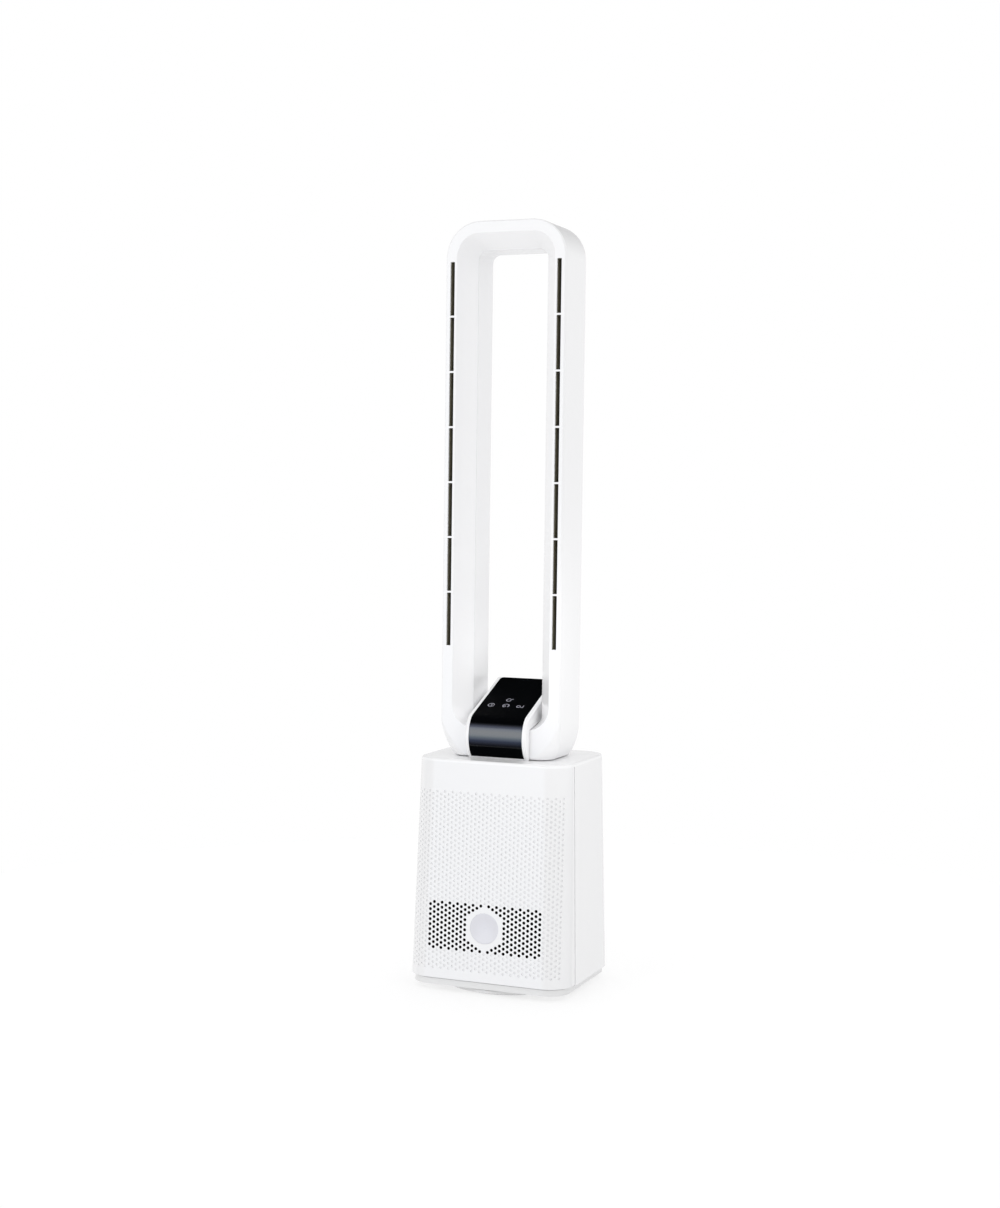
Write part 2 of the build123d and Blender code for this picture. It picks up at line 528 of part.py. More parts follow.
# ---- base housing -----------------------------------------------------------
def neck_hole(z0, z1):
    sketch = RectangleRounded(NECK_W + 2 * GAP, NECK_D + 2 * GAP, NECK_R)
    return extrude(Pos(0, FAN_Y, z0) * sketch, z1 - z0)


def top_deck():
    z0 = BASE_Z1 - DECK_T
    body = base_solid(z0, BASE_Z1)
    body = fillet(body.faces().sort_by(Axis.Z)[-1].edges(), DECK_EDGE_R)
    body += base_ring(z0 - RIM_H, z0 + 0.5, WALL + GAP, RIM_T)
    body += discs(BOSS_R, BASE_Z1 - 1, LOOP_Z0, LOOP_SCREWS)
    body -= neck_hole(z0 - 1, BASE_Z1 + 1)
    wide = 2 * (SEAL_W + 2 * GAP)
    groove = RectangleRounded(NECK_W + wide, NECK_D + wide, NECK_R + SEAL_W)
    body -= extrude(Pos(0, FAN_Y, LOOP_Z0 - SEAL_T) * groove, SEAL_T)
    console = [(sx * CONSOLE_SCREW_X, CONSOLE_SCREW_Y) for sx in (-1, 1)]
    return body - discs(SCREW_R + 0.1, z0, LOOP_Z0, LOOP_SCREWS + console)


def window_places():
    """Hole centres of the front window, clear of the lens."""
    places = []
    for i in range(-HOLE_COLS, HOLE_COLS + 1):
        rows, top = ((HOLE_ROWS_ODD, HOLE_TOP_ODD) if i % 2 else (HOLE_ROWS_EVEN, HOLE_TOP_EVEN))
        for j in range(rows):
            x, z = i * HOLE_X, top - j * HOLE_Z
            if sqrt(x * x + (z - LENS_Z) ** 2) >= LENS_CLEAR:
                places.append((x, z - LENS_Z))
    return places


def display_bosses():
    return [(sx * DISPLAY_BOSS_X, DISPLAY_BOSS_UP) for sx in (-1, 1)]


def front_cover():
    """Perforated front with its lens seat, wrapping both front corners."""
    z1 = BASE_Z1 - DECK_T
    body = base_ring(BASE_Z0, z1, 0, WALL)
    body &= box(-BASE_W_LOW, BASE_W_LOW, -BASE_D_LOW, SEAM_Y - SEAM / 2, BASE_Z0, z1)
    face = front_plane(LENS_Z)
    hexes = Sketch() + [Pos(x, y) * RegularPolygon(HOLE_R, 6) for x, y in window_places()]
    body -= slab(face, hexes, -1, WALL + 1)
    body -= slab(face, Circle(LENS_R + GAP / 2), -1, WALL + 1)
    for x, y in display_bosses():
        boss = Pos(x, y) * Circle(BOSS_R)
        body += slab(face, boss, WALL - 0.2, DISPLAY_BACK)
        body -= slab(face, Pos(x, y) * Circle(SCREW_R), WALL + 1, DISPLAY_BACK + 1)
    return body


def display_lens():
    """Round lens with a shallow dish in front and a flange behind the cover."""
    face = front_plane(LENS_Z)
    ball_r = (DISH_R ** 2 + DISH_DEEP ** 2) / (2 * DISH_DEEP)
    ball = face.offset(ball_r - DISH_DEEP - LENS_SINK) * Sphere(ball_r)
    return (slab(face, Circle(LENS_R), LENS_SINK, WALL + 0.1)
            + slab(face, Circle(LENS_R + LENS_FLANGE), WALL + 0.1, WALL + 1.3) - ball)


def window_screen():
    face = front_plane(LENS_Z)
    width = 2 * (HOLE_COLS * HOLE_X + SCREEN_MARGIN)
    sheet = RectangleRounded(width, SCREEN_H, 4) - Circle(LENS_R + LENS_FLANGE + GAP)
    flat = slab(face, sheet, WALL + GAP, WALL + GAP + SCREEN_T)
    return flat & base_solid(BASE_Z0, BASE_Z1, WALL + GAP)


def display_board():
    face = front_plane(LENS_Z)
    d = DISPLAY_BACK
    board = slab(face, Pos(0, DISPLAY_UP) * Rectangle(DISPLAY_W, DISPLAY_H), d, d + BOARD_T)
    for x, y in display_bosses():
        board -= slab(face, Pos(x, y) * Circle(SCREW_R + 0.1), d - 1, d + BOARD_T + 1)
    return board + slab(face, Rectangle(24, 16), WALL + 1.3 + SLIDE, d)


def display_screws():
    face = front_plane(LENS_Z)
    d = DISPLAY_BACK + BOARD_T
    bodies = []
    for x, y in display_bosses():
        bodies.append(slab(face, Pos(x, y) * RegularPolygon(SCREW_HEAD_R, 6), d, d + SCREW_HEAD_T)
                      + slab(face, Pos(x, y) * Circle(SCREW_R), d - 6, d))
    return Part() + bodies


def side_shell():
    """Sides and back of the base with the rear intake opening and its ledge."""
    z1 = BASE_Z1 - DECK_T
    body = base_ring(SIDE_Z0, z1, 0, WALL)
    w, d = BASE_W_LOW, BASE_D_LOW
    body &= box(-w, w, SEAM_Y + SEAM / 2, d, SIDE_Z0, z1)
    tongue = base_ring(TRAY_TOP + RIM_H + 1, z1 - RIM_H - 1, WALL + GAP, LIP)
    tongue &= box(-w, w, SEAM_Y - 4, SEAM_Y + 6, 0, z1)
    root = base_ring(TRAY_TOP + RIM_H + 1, z1 - RIM_H - 1, WALL - 0.2, LIP + GAP + 0.2)
    root &= box(-w, w, SEAM_Y + SEAM / 2 + 0.2, SEAM_Y + 6, 0, z1)
    body += tongue + root
    face = rear_plane(COVER_Z)
    body -= slab(face, RectangleRounded(COVER_W, COVER_H, COVER_R), -1, WALL + 1)
    frame = RectangleRounded(COVER_W + 2 * LEDGE, COVER_H + 2 * LEDGE, COVER_R + LEDGE)
    frame -= RectangleRounded(COVER_W - 2 * LEDGE, COVER_H - 2 * LEDGE, COVER_R - LEDGE)
    body += slab(face, frame, WALL - 0.1, WALL + LIP)
    face, at = rear_plane(GLAND_Z), Pos(-GLAND_X, 0)
    body -= slab(face, at * Circle(GLAND_FLANGE_R + GAP), -1, GLAND_SUNK)
    return body - slab(face, at * Circle(GLAND_R + GAP / 2), -1, WALL + 1)


def cable_gland():
    face = rear_plane(GLAND_Z)
    at = Pos(-GLAND_X, 0)
    body = slab(face, at * Circle(GLAND_FLANGE_R), -0.4, GLAND_SUNK)
    body += slab(face, at * Circle(GLAND_R), 0, WALL + 1.5)
    body += slab(face, at * Circle(GLAND_FLANGE_R - 0.8), WALL + GAP, WALL + 1.7)
    return body - slab(face, at * Circle(GLAND_BORE), -2, WALL + 3)


# ---- rear intake cover ------------------------------------------------------
def cover_size(inset):
    return (COVER_W - 2 * inset, COVER_H - 2 * inset)


def rear_cover():
    face = rear_plane(COVER_Z)
    skin = WALL - SLIDE - 0.1
    w, h = cover_size(SLIDE)
    body = slab(face, RectangleRounded(w, h, COVER_R - SLIDE), 0, skin)
    pitch_x = LOUVRE_W + LOUVRE_GAP_X
    slots = [Pos((i - (LOUVRE_COLS - 1) / 2) * pitch_x, (j - (LOUVRE_ROWS - 1) / 2) * LOUVRE_PITCH)
             * Rectangle(LOUVRE_W, LOUVRE_H)
             for i in range(LOUVRE_COLS) for j in range(LOUVRE_ROWS)]
    body -= slab(face, Sketch() + slots, -1, skin + 1)
    w, h = cover_size(LEDGE + 0.5)
    rim = RectangleRounded(w, h, COVER_R - LEDGE)
    rim -= RectangleRounded(w - 2 * COVER_RIM_T, h - 2 * COVER_RIM_T, COVER_R - LEDGE - COVER_RIM_T)
    return body + slab(face, rim, skin - 0.1, skin + COVER_RIM_D)


def filter_frame():
    face = rear_plane(COVER_Z)
    w, h = cover_size(LEDGE + 0.5 + COVER_RIM_T + SLIDE)
    ring = RectangleRounded(w, h, COVER_R - LEDGE - COVER_RIM_T)
    ring -= Rectangle(w - 2 * FILTER_T, h - 2 * FILTER_T)
    return slab(face, ring, WALL, WALL + FILTER_D)


def filter_media():
    """Pleated sheet, its folds running across the width."""
    face = rear_plane(COVER_Z)
    w, h = cover_size(LEDGE + 0.5 + COVER_RIM_T + SLIDE + FILTER_T + 0.1)
    d0, d1 = WALL + 1.5, WALL + FILTER_D - 1.5 - PLEAT_T
    step = h / (2 * PLEATS)
    front = [(-d0 if i % 2 else -d1, -h / 2 + i * step) for i in range(2 * PLEATS + 1)]
    back = [(x - PLEAT_T, y) for x, y in reversed(front)]
    side = Plane(face.origin, x_dir=face.z_dir, z_dir=-face.x_dir)
    return extrude(side * make_face(Polyline(*front, *back, close=True)), w / 2, both=True)


# ---- loop -------------------------------------------------------------------
def slot_centres():
    return [SLOT_Z0 + SLOT_PITCH * (i + 0.5) for i in range(SLOT_N)]


def loop_front_shell():
    """Front of the hollow loop: side wall, front band and slanted guide face."""
    y_back = LOOP_Y1 - LOOP_WALL
    upper = box(-LOOP_W, LOOP_W, LOOP_Y0 - 1, LOOP_Y1, HEEL_Z, LOOP_TOP + 1)
    body = loop_slab(outer_outline(), LOOP_Y0, y_back)
    body = fillet(body.faces().sort_by(Axis.Y)[0].edges().sort_by(Axis.Z)[1:], LOOP_EDGE_R)
    body = (body & upper) + heel_solid()
    room = loop_slab(outer_outline(LOOP_WALL), LOOP_Y0 + LOOP_WALL, y_back)
    room = (room & upper) + heel_solid(LOOP_WALL)
    body -= room - funnel(LOOP_WALL + 0.5)
    body -= funnel()
    half = (SLOT_PITCH - SLOT_RIB) / 2
    for x in (-SLOT_X, SLOT_X):
        for z in slot_centres():
            body -= box(x - SLOT_W / 2, x + SLOT_W / 2, LOOP_Y0 - 1, LOOP_Y0 + LOOP_WALL + 0.05,
                        z - half, z + half)
    body += discs(BOSS_R, LOOP_Z0 + 1, LOOP_Z0 + BOSS_H, LOOP_SCREWS)
    body -= discs(SCREW_R, LOOP_Z0, LOOP_Z0 + BOSS_H - 2, LOOP_SCREWS)
    return body - neck_hole(LOOP_Z0 - 1, LOOP_Z0 + LOOP_WALL + 1)


def loop_rear_shell():
    """Back plate with the inner tube that runs forward to the crease."""
    y0 = LOOP_Y1 - LOOP_WALL
    plate = loop_slab(outer_outline(), y0, LOOP_Y1)
    plate = fillet(plate.faces().sort_by(Axis.Y)[-1].edges(), LOOP_WALL - 0.3)
    inner = loop_slab(throat_outline(LOOP_WALL), THROAT_Y, y0 + 0.1)
    inner -= loop_slab(throat_outline(LOOP_WALL / 2), THROAT_Y, THROAT_Y + CREASE_GAP)
    locate = loop_slab(outer_outline(LOOP_WALL + GAP), y0 - 4, y0 + 0.1)
    locate -= loop_slab(outer_outline(LOOP_WALL + GAP + 1.5), y0 - 4, y0 + 0.1)
    locate -= discs(BOSS_R + GAP, LOOP_Z0, LOOP_Z0 + BOSS_H, LOOP_SCREWS)
    return plate + inner + locate - loop_slab(throat_outline(), THROAT_Y, LOOP_Y1)


def nozzle(side):
    """Air outlet channel behind one leg's row of slots, with a web behind each rib."""
    x, y0 = side * SLOT_X, LOOP_Y0 + LOOP_WALL + 0.1
    z0, z1 = SLOT_Z0, SLOT_Z0 + SLOT_N * SLOT_PITCH
    w, half = SLOT_W / 2 + NOZZLE_WALL, (SLOT_PITCH - SLOT_RIB) / 2
    body = box(x - w, x + w, y0, y0 + NOZZLE_D, z0 - 2, z1 + 2)
    for z in slot_centres():
        body -= box(x - SLOT_W / 2, x + SLOT_W / 2, y0 - 1, y0 + NOZZLE_D + 1, z - half, z + half)
    return body


def flow_splitter():
    """Wedge under the throat that turns the air into both legs."""
    top = THROAT_Z0 - LOOP_WALL - 0.1
    half = SPLIT_W / 2
    right = ThreePointArc((0, top - SPLIT_H), (half * 0.35, top - SPLIT_H * 0.3), (half, top))
    left = ThreePointArc((-half, top), (-half * 0.35, top - SPLIT_H * 0.3), (0, top - SPLIT_H))
    face = make_face([right, Line((half, top), (-half, top)), left])
    y0 = THROAT_Y + 2
    return loop_slab(face, y0, y0 + SPLIT_D)


def loop_screws():
    z = BASE_Z1 - DECK_T
    return Part() + [screw(x, y, z, LOOP_Z0 + BOSS_H - 3) for x, y in LOOP_SCREWS]


# ---- console ----------------------------------------------------------------
def ramp_z(y):
    return RAMP_Z + (y - RAMP_Y) * tan(radians(RAMP_SLOPE))


def ramp_start():
    """Where the rising ramp meets the round front of the console."""
    k = tan(radians(RAMP_SLOPE))
    c = ramp_z(0) - BULGE_Z
    a, b = 1 + k * k, 2 * (k * c - BULGE_Y)
    y = (-b - sqrt(b * b - 4 * a * (BULGE_Y ** 2 + c * c - BULGE_R ** 2))) / (2 * a)
    return (y, ramp_z(y))


def console_profile(inset=0.0):
    z0 = BASE_Z1
    low = (BULGE_Y - sqrt(BULGE_R ** 2 - (z0 - BULGE_Z) ** 2), z0)
    start, back = ramp_start(), (CONSOLE_BACK_Y, ramp_z(CONSOLE_BACK_Y))
    arc = ThreePointArc(low, (BULGE_Y - BULGE_R, BULGE_Z), start)
    rest = Polyline(start, back, (CONSOLE_BACK_Y, z0), low)
    s = make_face([arc, *rest.edges()])
    s = fillet(s.vertices().sort_by_distance((*start, 0))[0], RAMP_BLEND)
    s = fillet(s.vertices().sort_by_distance((*back, 0))[0], CONSOLE_BACK_R)
    return offset(s, -inset, kind=Kind.INTERSECTION) if inset else s


def across(sketch, half):
    return extrude(Plane.YZ * sketch, half, both=True)


def panel_strip(grow):
    half = PANEL_W / 2 + grow
    deep = PANEL_T + (PANEL_GLUE if grow else 0)
    strip = across(console_profile() - console_profile(deep), half)
    y1 = PANEL_TOP_Y + grow
    plan = Pos(0, y1 - 100) * Rectangle(2 * half, 200)
    plan = fillet(plan.vertices().group_by(Axis.Y)[-1], PANEL_CORNER + grow)
    z0 = BASE_Z1 + PANEL_T + PANEL_LIFT - grow
    return strip & extrude(Pos(0, 0, z0) * plan, 200)


def touch_panel():
    return panel_strip(0)


def saddle():
    """Room for the lower bar of the loop, following its front, guide face and throat."""
    g = SADDLE_GAP
    y0, y1 = LOOP_Y0 - g, LOOP_Y1 + g
    room = box(-CONSOLE_W, CONSOLE_W, y0, y1, 0, THROAT_Z0 + THROAT_R)
    room -= loop_slab(band_outline(-g), y0, LOOP_Y0)
    return room - funnel(-g) - loop_slab(throat_outline(-g), THROAT_Y, y1)


def console_housing():
    body = across(console_profile(), CONSOLE_W / 2)
    for side in (0, -1):
        cheek = body.faces().sort_by(Axis.X)[side]
        body = fillet(cheek.edges().sort_by(Axis.Z)[1:], CONSOLE_EDGE_R)
    body -= panel_strip(0.15)
    room = across(console_profile(PANEL_T + CONSOLE_WALL), CONSOLE_W / 2 - CONSOLE_WALL)
    posts = [(sx * CONSOLE_SCREW_X, CONSOLE_SCREW_Y) for sx in (-1, 1)]
    body -= room - discs(BOSS_R, BASE_Z1, BASE_Z1 + BOSS_H + 3, posts)
    body -= saddle()
    return body - discs(SCREW_R, BASE_Z1, BASE_Z1 + BOSS_H, posts)


def console_screws():
    z = BASE_Z1 - DECK_T
    return Part() + [screw(sx * CONSOLE_SCREW_X, CONSOLE_SCREW_Y, z, z + 9) for sx in (-1, 1)]


def touch_board():
    """Sensor board clipped close under the sloping top of the console."""
    drop = PANEL_T + CONSOLE_WALL + GAP
    k = radians(RAMP_SLOPE)
    y = (TOUCH_BOARD_Y0 + TOUCH_BOARD_Y1) / 2
    length = (TOUCH_BOARD_Y1 - TOUCH_BOARD_Y0) / cos(k)
    at = Plane((0, y, ramp_z(y)), x_dir=(1, 0, 0), z_dir=(0, -sin(k), cos(k)))
    board = slab(at, Rectangle(TOUCH_BOARD_W, length), drop, drop + BOARD_T)
    return board + slab(at, Pos(12, 8) * Rectangle(18, 14), drop + BOARD_T, drop + BOARD_T + 3)


# ---- output -----------------------------------------------------------------
PIECES = {
    "foot_disc": foot_disc, "foot_pad": foot_pad, "ballast_plate": ballast_plate,
    "ring_gear": ring_gear, "spindle": spindle, "spindle_nut": spindle_nut,
    "foot_screws": foot_screws, "lower_race": lower_race, "upper_race": upper_race,
    "rollers": rollers, "roller_cage": roller_cage, "bottom_tray": bottom_tray,
    "tray_bush": tray_bush, "oscillation_pinion": oscillation_pinion,
    "oscillation_motor": oscillation_motor, "tray_screws": tray_screws,
    "main_board": main_board, "fan_carrier": fan_carrier, "fan_mounts": fan_mounts,
    "shroud": shroud, "guide_vanes": guide_vanes, "fan_motor": fan_motor,
    "motor_bearings": motor_bearings, "motor_shaft": motor_shaft, "impeller": impeller,
    "impeller_nut": impeller_nut, "neck_duct": neck_duct, "neck_seal": neck_seal,
    "top_deck": top_deck, "front_cover": front_cover, "display_lens": display_lens,
    "window_screen": window_screen, "display_board": display_board,
    "display_screws": display_screws, "side_shell": side_shell,
    "cable_gland": cable_gland, "rear_cover": rear_cover, "filter_frame": filter_frame,
    "filter_media": filter_media, "loop_front_shell": loop_front_shell,
    "loop_rear_shell": loop_rear_shell, "left_nozzle": lambda: nozzle(-1),
    "right_nozzle": lambda: nozzle(1), "flow_splitter": flow_splitter,
    "loop_screws": loop_screws, "console_housing": console_housing,
    "touch_panel": touch_panel, "touch_board": touch_board,
    "console_screws": console_screws,
}

os.makedirs("parts", exist_ok=True)
for name, make in PIECES.items():
    export_step(make(), f"parts/{name}.step")
    print(name)
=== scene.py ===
# %% [markdown]
# # A bladeless tower fan in a white studio
# The fan is two things standing on each other: a tapered white base that hides the motor and
# rotor, and a tall hollow loop that blows the air out through slim slots in its front band.
# The engineering model already holds every piece at its real size, so this notebook gives the
# pieces their finishes, adds the fine moulded detail, and sets the studio around them.

# %% Load the engineering model
import math

import bpy
import numpy as np
from mathutils import Matrix, Vector


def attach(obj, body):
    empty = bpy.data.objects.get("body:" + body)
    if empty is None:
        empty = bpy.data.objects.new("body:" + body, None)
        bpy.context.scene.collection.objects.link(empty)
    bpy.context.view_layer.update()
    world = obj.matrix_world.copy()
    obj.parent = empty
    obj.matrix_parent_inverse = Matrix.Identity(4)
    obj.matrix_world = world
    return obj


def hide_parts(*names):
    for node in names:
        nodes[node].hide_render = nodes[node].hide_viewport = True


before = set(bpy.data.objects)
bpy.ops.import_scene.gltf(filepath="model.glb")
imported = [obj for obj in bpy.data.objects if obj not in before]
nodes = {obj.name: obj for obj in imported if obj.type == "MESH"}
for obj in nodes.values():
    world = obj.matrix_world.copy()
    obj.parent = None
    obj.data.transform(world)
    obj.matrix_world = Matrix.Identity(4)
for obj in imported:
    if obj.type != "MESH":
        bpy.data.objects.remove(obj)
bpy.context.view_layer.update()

MM = 0.001
print(len(nodes), "solid pieces loaded")

# %% [markdown]
# ## The camera
# The camera stands to the right of the fan at the height of its middle and looks slightly
# down: 0.86 m to the right, 2.16 m in front and 0.58 m up. A camera could be aimed with a
# tracking rule, but this place and turn were solved from the outlines of the base and the
# loop, so they are written as they came out: three directions that stand square to each other.

# %% Camera
CAMERA_PLACE = (0.85779, -2.15944, 0.58327)
CAMERA_RIGHT = (0.926172, 0.376870, 0.013201)
CAMERA_UP = (-0.032224, 0.044218, 0.998502)
CAMERA_AHEAD = (-0.375722, 0.925210, -0.053097)
LENS, FILM_HEIGHT = 57.286, 36.0    # mm

camera = bpy.data.objects.new("camera", bpy.data.cameras.new("camera"))
camera.data.sensor_fit = "VERTICAL"
camera.data.sensor_height = FILM_HEIGHT
camera.data.lens = LENS
camera.data.clip_end = 100.0
turn = Matrix((CAMERA_RIGHT, CAMERA_UP, [-a for a in CAMERA_AHEAD])).transposed().to_4x4()
camera.matrix_world = Matrix.Translation(CAMERA_PLACE) @ turn
bpy.context.scene.collection.objects.link(camera)
bpy.context.scene.camera = camera
print("camera at", CAMERA_PLACE, "lens", LENS)

# %% [markdown]
# ## Helpers for materials
# Colours are picked as sRGB hex values, the way a paint or plastics chart gives them, and one
# function turns them into the linear numbers that the shader works in. A second function adds
# any node, fills in its settings and joins its links, so each finish below reads as a recipe.


# %% Colour and node helpers
def linear(hex_colour, alpha=1.0):
    """Each sRGB channel c, from 0 to 1, becomes ((c + 0.055) / 1.055) ** 2.4, or c / 12.92
    near 0."""
    c = np.array([int(hex_colour[i:i + 2], 16) for i in (1, 3, 5)]) / 255
    lin = np.where(c <= 0.04045, c / 12.92, ((c + 0.055) / 1.055) ** 2.4)
    return (*lin.tolist(), alpha)


def add(tree, kind, settings=None, **inputs):
    """Adds a node. settings are its properties. inputs are values, or sockets to link from;
    Scale=2 fills the socket called Scale, and _2=2 the third one."""
    node = tree.nodes.new(kind)
    for key, value in (settings or {}).items():
        setattr(node, key, value)
    for key, value in inputs.items():
        place = int(key[1:]) if key[1:].isdigit() else key.replace("_", " ")
        if isinstance(value, bpy.types.NodeSocket):
            tree.links.new(value, node.inputs[place])
        else:
            node.inputs[place].default_value = value
    return node


# %% [markdown]
# ## One recipe for moulded and machined surfaces
# No real surface is quite even. A mould or a cutter leaves a ripple far thinner than a hair,
# which bends the highlights, and handling makes the gloss wander a little from place to place.
# Both could be painted as pictures, but noise in the piece's own coordinates needs no picture,
# has no seams, and takes its sizes in real millimetres.


# %% Finish recipe
def finish_of(name, colour, roughness, ior=1.5, metallic=0.0, peel=0.0, peel_mm=1.0,
              mottle=0.0, mottle_mm=6.0):
    """peel is the height of the fine ripple in mm and peel_mm its spacing. mottle is how far
    the roughness wanders to both sides, over patches of mottle_mm."""
    material = bpy.data.materials.new(name)
    material.use_nodes = True
    tree = material.node_tree
    shader = tree.nodes["Principled BSDF"]
    shader.inputs["Base Color"].default_value = linear(colour)
    shader.inputs["Roughness"].default_value = roughness
    shader.inputs["Metallic"].default_value = metallic
    if not metallic:
        shader.inputs["IOR"].default_value = ior
    where = add(tree, "ShaderNodeTexCoord").outputs["Object"]
    if mottle:
        cloud = add(tree, "ShaderNodeTexNoise", Vector=where, Scale=1000 / mottle_mm, Detail=3.0)
        spread = add(tree, "ShaderNodeMapRange", Value=cloud.outputs["Fac"],
                     To_Min=roughness - mottle, To_Max=roughness + mottle)
        tree.links.new(spread.outputs["Result"], shader.inputs["Roughness"])
    if peel:
        ripple = add(tree, "ShaderNodeTexNoise", Vector=where, Scale=1000 / peel_mm, Detail=2.0)
        bump = add(tree, "ShaderNodeBump", Height=ripple.outputs["Fac"], Distance=peel * MM,
                   Strength=1.0)
        tree.links.new(bump.outputs["Normal"], shader.inputs["Normal"])
    return material


# %% [markdown]
# ## The plastics that show
# Nearly all that shows is injection-moulded ABS, a hard white plastic with an IOR of about 1.5.
# A polished mould makes it glossy, and an etched one makes it satin. Each finish starts from
# the usual values of its material and was then matched to the photograph.

# %% Finishes of the outside
# A polished mould: soft-edged highlights with a faint wave in them.
gloss_abs = finish_of("gloss white ABS", "#F8F8F9", 0.20, peel=0.004, peel_mm=3.0,
                      mottle=0.05, mottle_mm=25.0)
# The base comes from the same kind of mould, and its white is a trace greyer.
base_abs = finish_of("gloss white ABS of the base", "#F2F2F3", 0.20, peel=0.004, peel_mm=3.0,
                     mottle=0.05, mottle_mm=25.0)
# An etched mould: a fine tooth that spreads every highlight.
satin_abs = finish_of("satin white ABS", "#E9E9E9", 0.42, peel=0.01, peel_mm=0.8,
                      mottle=0.06, mottle_mm=9.0)
# Acrylic sheet, dyed through: no grain, so all that it shows is its gloss.
panel_acrylic = finish_of("black acrylic", "#030406", 0.55, ior=1.45, peel=0.002, peel_mm=0.5)
# Frosted from behind and polished in front: an even pale grey under a quiet sheen.
lens_acrylic = finish_of("frosted grey acrylic", "#E1E1E7", 0.25, peel=0.002, peel_mm=2.0,
                         mottle=0.05, mottle_mm=5.0)
# Painted shade inside the holes: a matt dark red on their throats and flares makes the holes look
# deep and dark, with a hint of red.
painted_hole_shade = finish_of("dark red painted shade of the holes", "#3A0808", 0.9, peel=0.01, peel_mm=0.6,
                     mottle=0.1, mottle_mm=3.0)
# Film that lets the red of the display through and looks black when that is off.
screen_film = finish_of("dark red filter film", "#0C0304", 0.5, peel=0.01, peel_mm=1.0,
                        mottle=0.1, mottle_mm=3.0)
# Unpainted ABS behind the slots, lightly etched: dull, with a warm grey.
nozzle_abs = finish_of("olive grey ABS", "#8A8672", 0.5, peel=0.01, peel_mm=1.0,
                       mottle=0.08, mottle_mm=8.0)
DARK_SHINE = 0.1    # matt pigment mirrors far less than a bare plastic, which has 0.5
for dark in (painted_hole_shade, screen_film):
    shader = dark.node_tree.nodes["Principled BSDF"]
    shader.inputs["Specular IOR Level"].default_value = DARK_SHINE
print(len(bpy.data.materials), "materials so far")

# %% [markdown]
# ## The pieces inside
# They show only through the open rear, but they are real parts in real materials, so each gets
# a finish of its own. A metal keeps the shader's default IOR, because its colour does the work.

# %% Finishes of the inside
# Etched dark plastic: dull, with the soft grain of the mould.
duct_abs = finish_of("dark grey ABS", "#33342F", 0.55, peel=0.02, peel_mm=1.0,
                     mottle=0.08, mottle_mm=8.0)
# Glass fibres near the surface make it slightly rough and patchy.
rotor_nylon = finish_of("glass filled nylon", "#54575B", 0.5, peel=0.02, peel_mm=0.6,
                        mottle=0.1, mottle_mm=4.0)
# Undyed bearing plastic: waxy and cream coloured.
gear_acetal = finish_of("natural acetal", "#DCD8C8", 0.4, peel=0.01, peel_mm=0.8,
                        mottle=0.06, mottle_mm=6.0)
# Thin plating over pressed steel: bright, with cloudy patches.
zinc_steel = finish_of("zinc plated steel", "#B9BCC0", 0.32, metallic=1.0, peel=0.004,
                       peel_mm=0.5, mottle=0.1, mottle_mm=4.0)
# Turned on a lathe: the fine cut widens its highlights a little.
alloy = finish_of("turned aluminium", "#C6C8CC", 0.28, metallic=1.0, peel=0.004, peel_mm=0.4,
                  mottle=0.08, mottle_mm=3.0)
# Moulded rubber: matt, with a fine dusty bloom.
rubber = finish_of("black rubber", "#1B1B1C", 0.8, peel=0.03, peel_mm=0.7, mottle=0.1,
                   mottle_mm=5.0)
# Cast in sand and painted: small bumps under a dull coat.
cast_weight = finish_of("painted cast iron", "#3A3B3E", 0.6, peel=0.05, peel_mm=1.5,
                        mottle=0.1, mottle_mm=6.0)
# Lacquer printed over copper tracks: glossy, and a little uneven.
board_mask = finish_of("green solder mask", "#1D5A38", 0.35, peel=0.02, peel_mm=1.2,
                       mottle=0.1, mottle_mm=3.0)
# Pressed fibres: quite matt, with a fuzz of half a millimetre.
filter_felt = finish_of("filter felt", "#E2E6E6", 0.9, peel=0.08, peel_mm=0.5, mottle=0.05,
                        mottle_mm=2.0)
print(len(bpy.data.materials), "materials so far")

# %% [markdown]
# ## The gloss of the touch panel
# The panel is one bent sheet. Its flat part is etched so that fingers leave no marks and it
# mirrors nothing; its round front is polished and shows the lights as bright bands. Two
# materials would meet in a hard line, so one material carries a clear coat whose weight
# follows the height: it comes in above the lower edge and fades out where the flat begins.

# %% Clear coat of the round front
COAT_FROM, COAT_TO = (0.2915, 0.2965), (0.3165, 0.3200)    # heights in m: it comes, it goes
ETCHED_SHINE, COAT_IOR, COAT_ROUGHNESS = 0.02, 2.0, 0.1

tree = panel_acrylic.node_tree
panel = tree.nodes["Principled BSDF"].inputs
panel["Specular IOR Level"].default_value = ETCHED_SHINE
panel["Coat IOR"].default_value = COAT_IOR
panel["Coat Roughness"].default_value = COAT_ROUGHNESS
where = add(tree, "ShaderNodeTexCoord").outputs["Object"]
level = add(tree, "ShaderNodeSeparateXYZ", Vector=where).outputs["Z"]
come = add(tree, "ShaderNodeMapRange", Value=level, From_Min=COAT_FROM[0], From_Max=COAT_FROM[1])
fade = add(tree, "ShaderNodeMapRange", Value=level, From_Min=COAT_TO[1], From_Max=COAT_TO[0])
coat = add(tree, "ShaderNodeMath", {"operation": "MULTIPLY"}, _0=come.outputs["Result"],
           _1=fade.outputs["Result"])
tree.links.new(coat.outputs[0], panel["Coat Weight"])
print("clear coat between", COAT_FROM[0], "and", COAT_TO[1], "m")

# %% [markdown]
# ## Dressing the solid pieces
# Each piece of the engineering model keeps its shape and gets the finish of the real one. A
# table of names under each finish is easier to read and to change than a call for each piece.

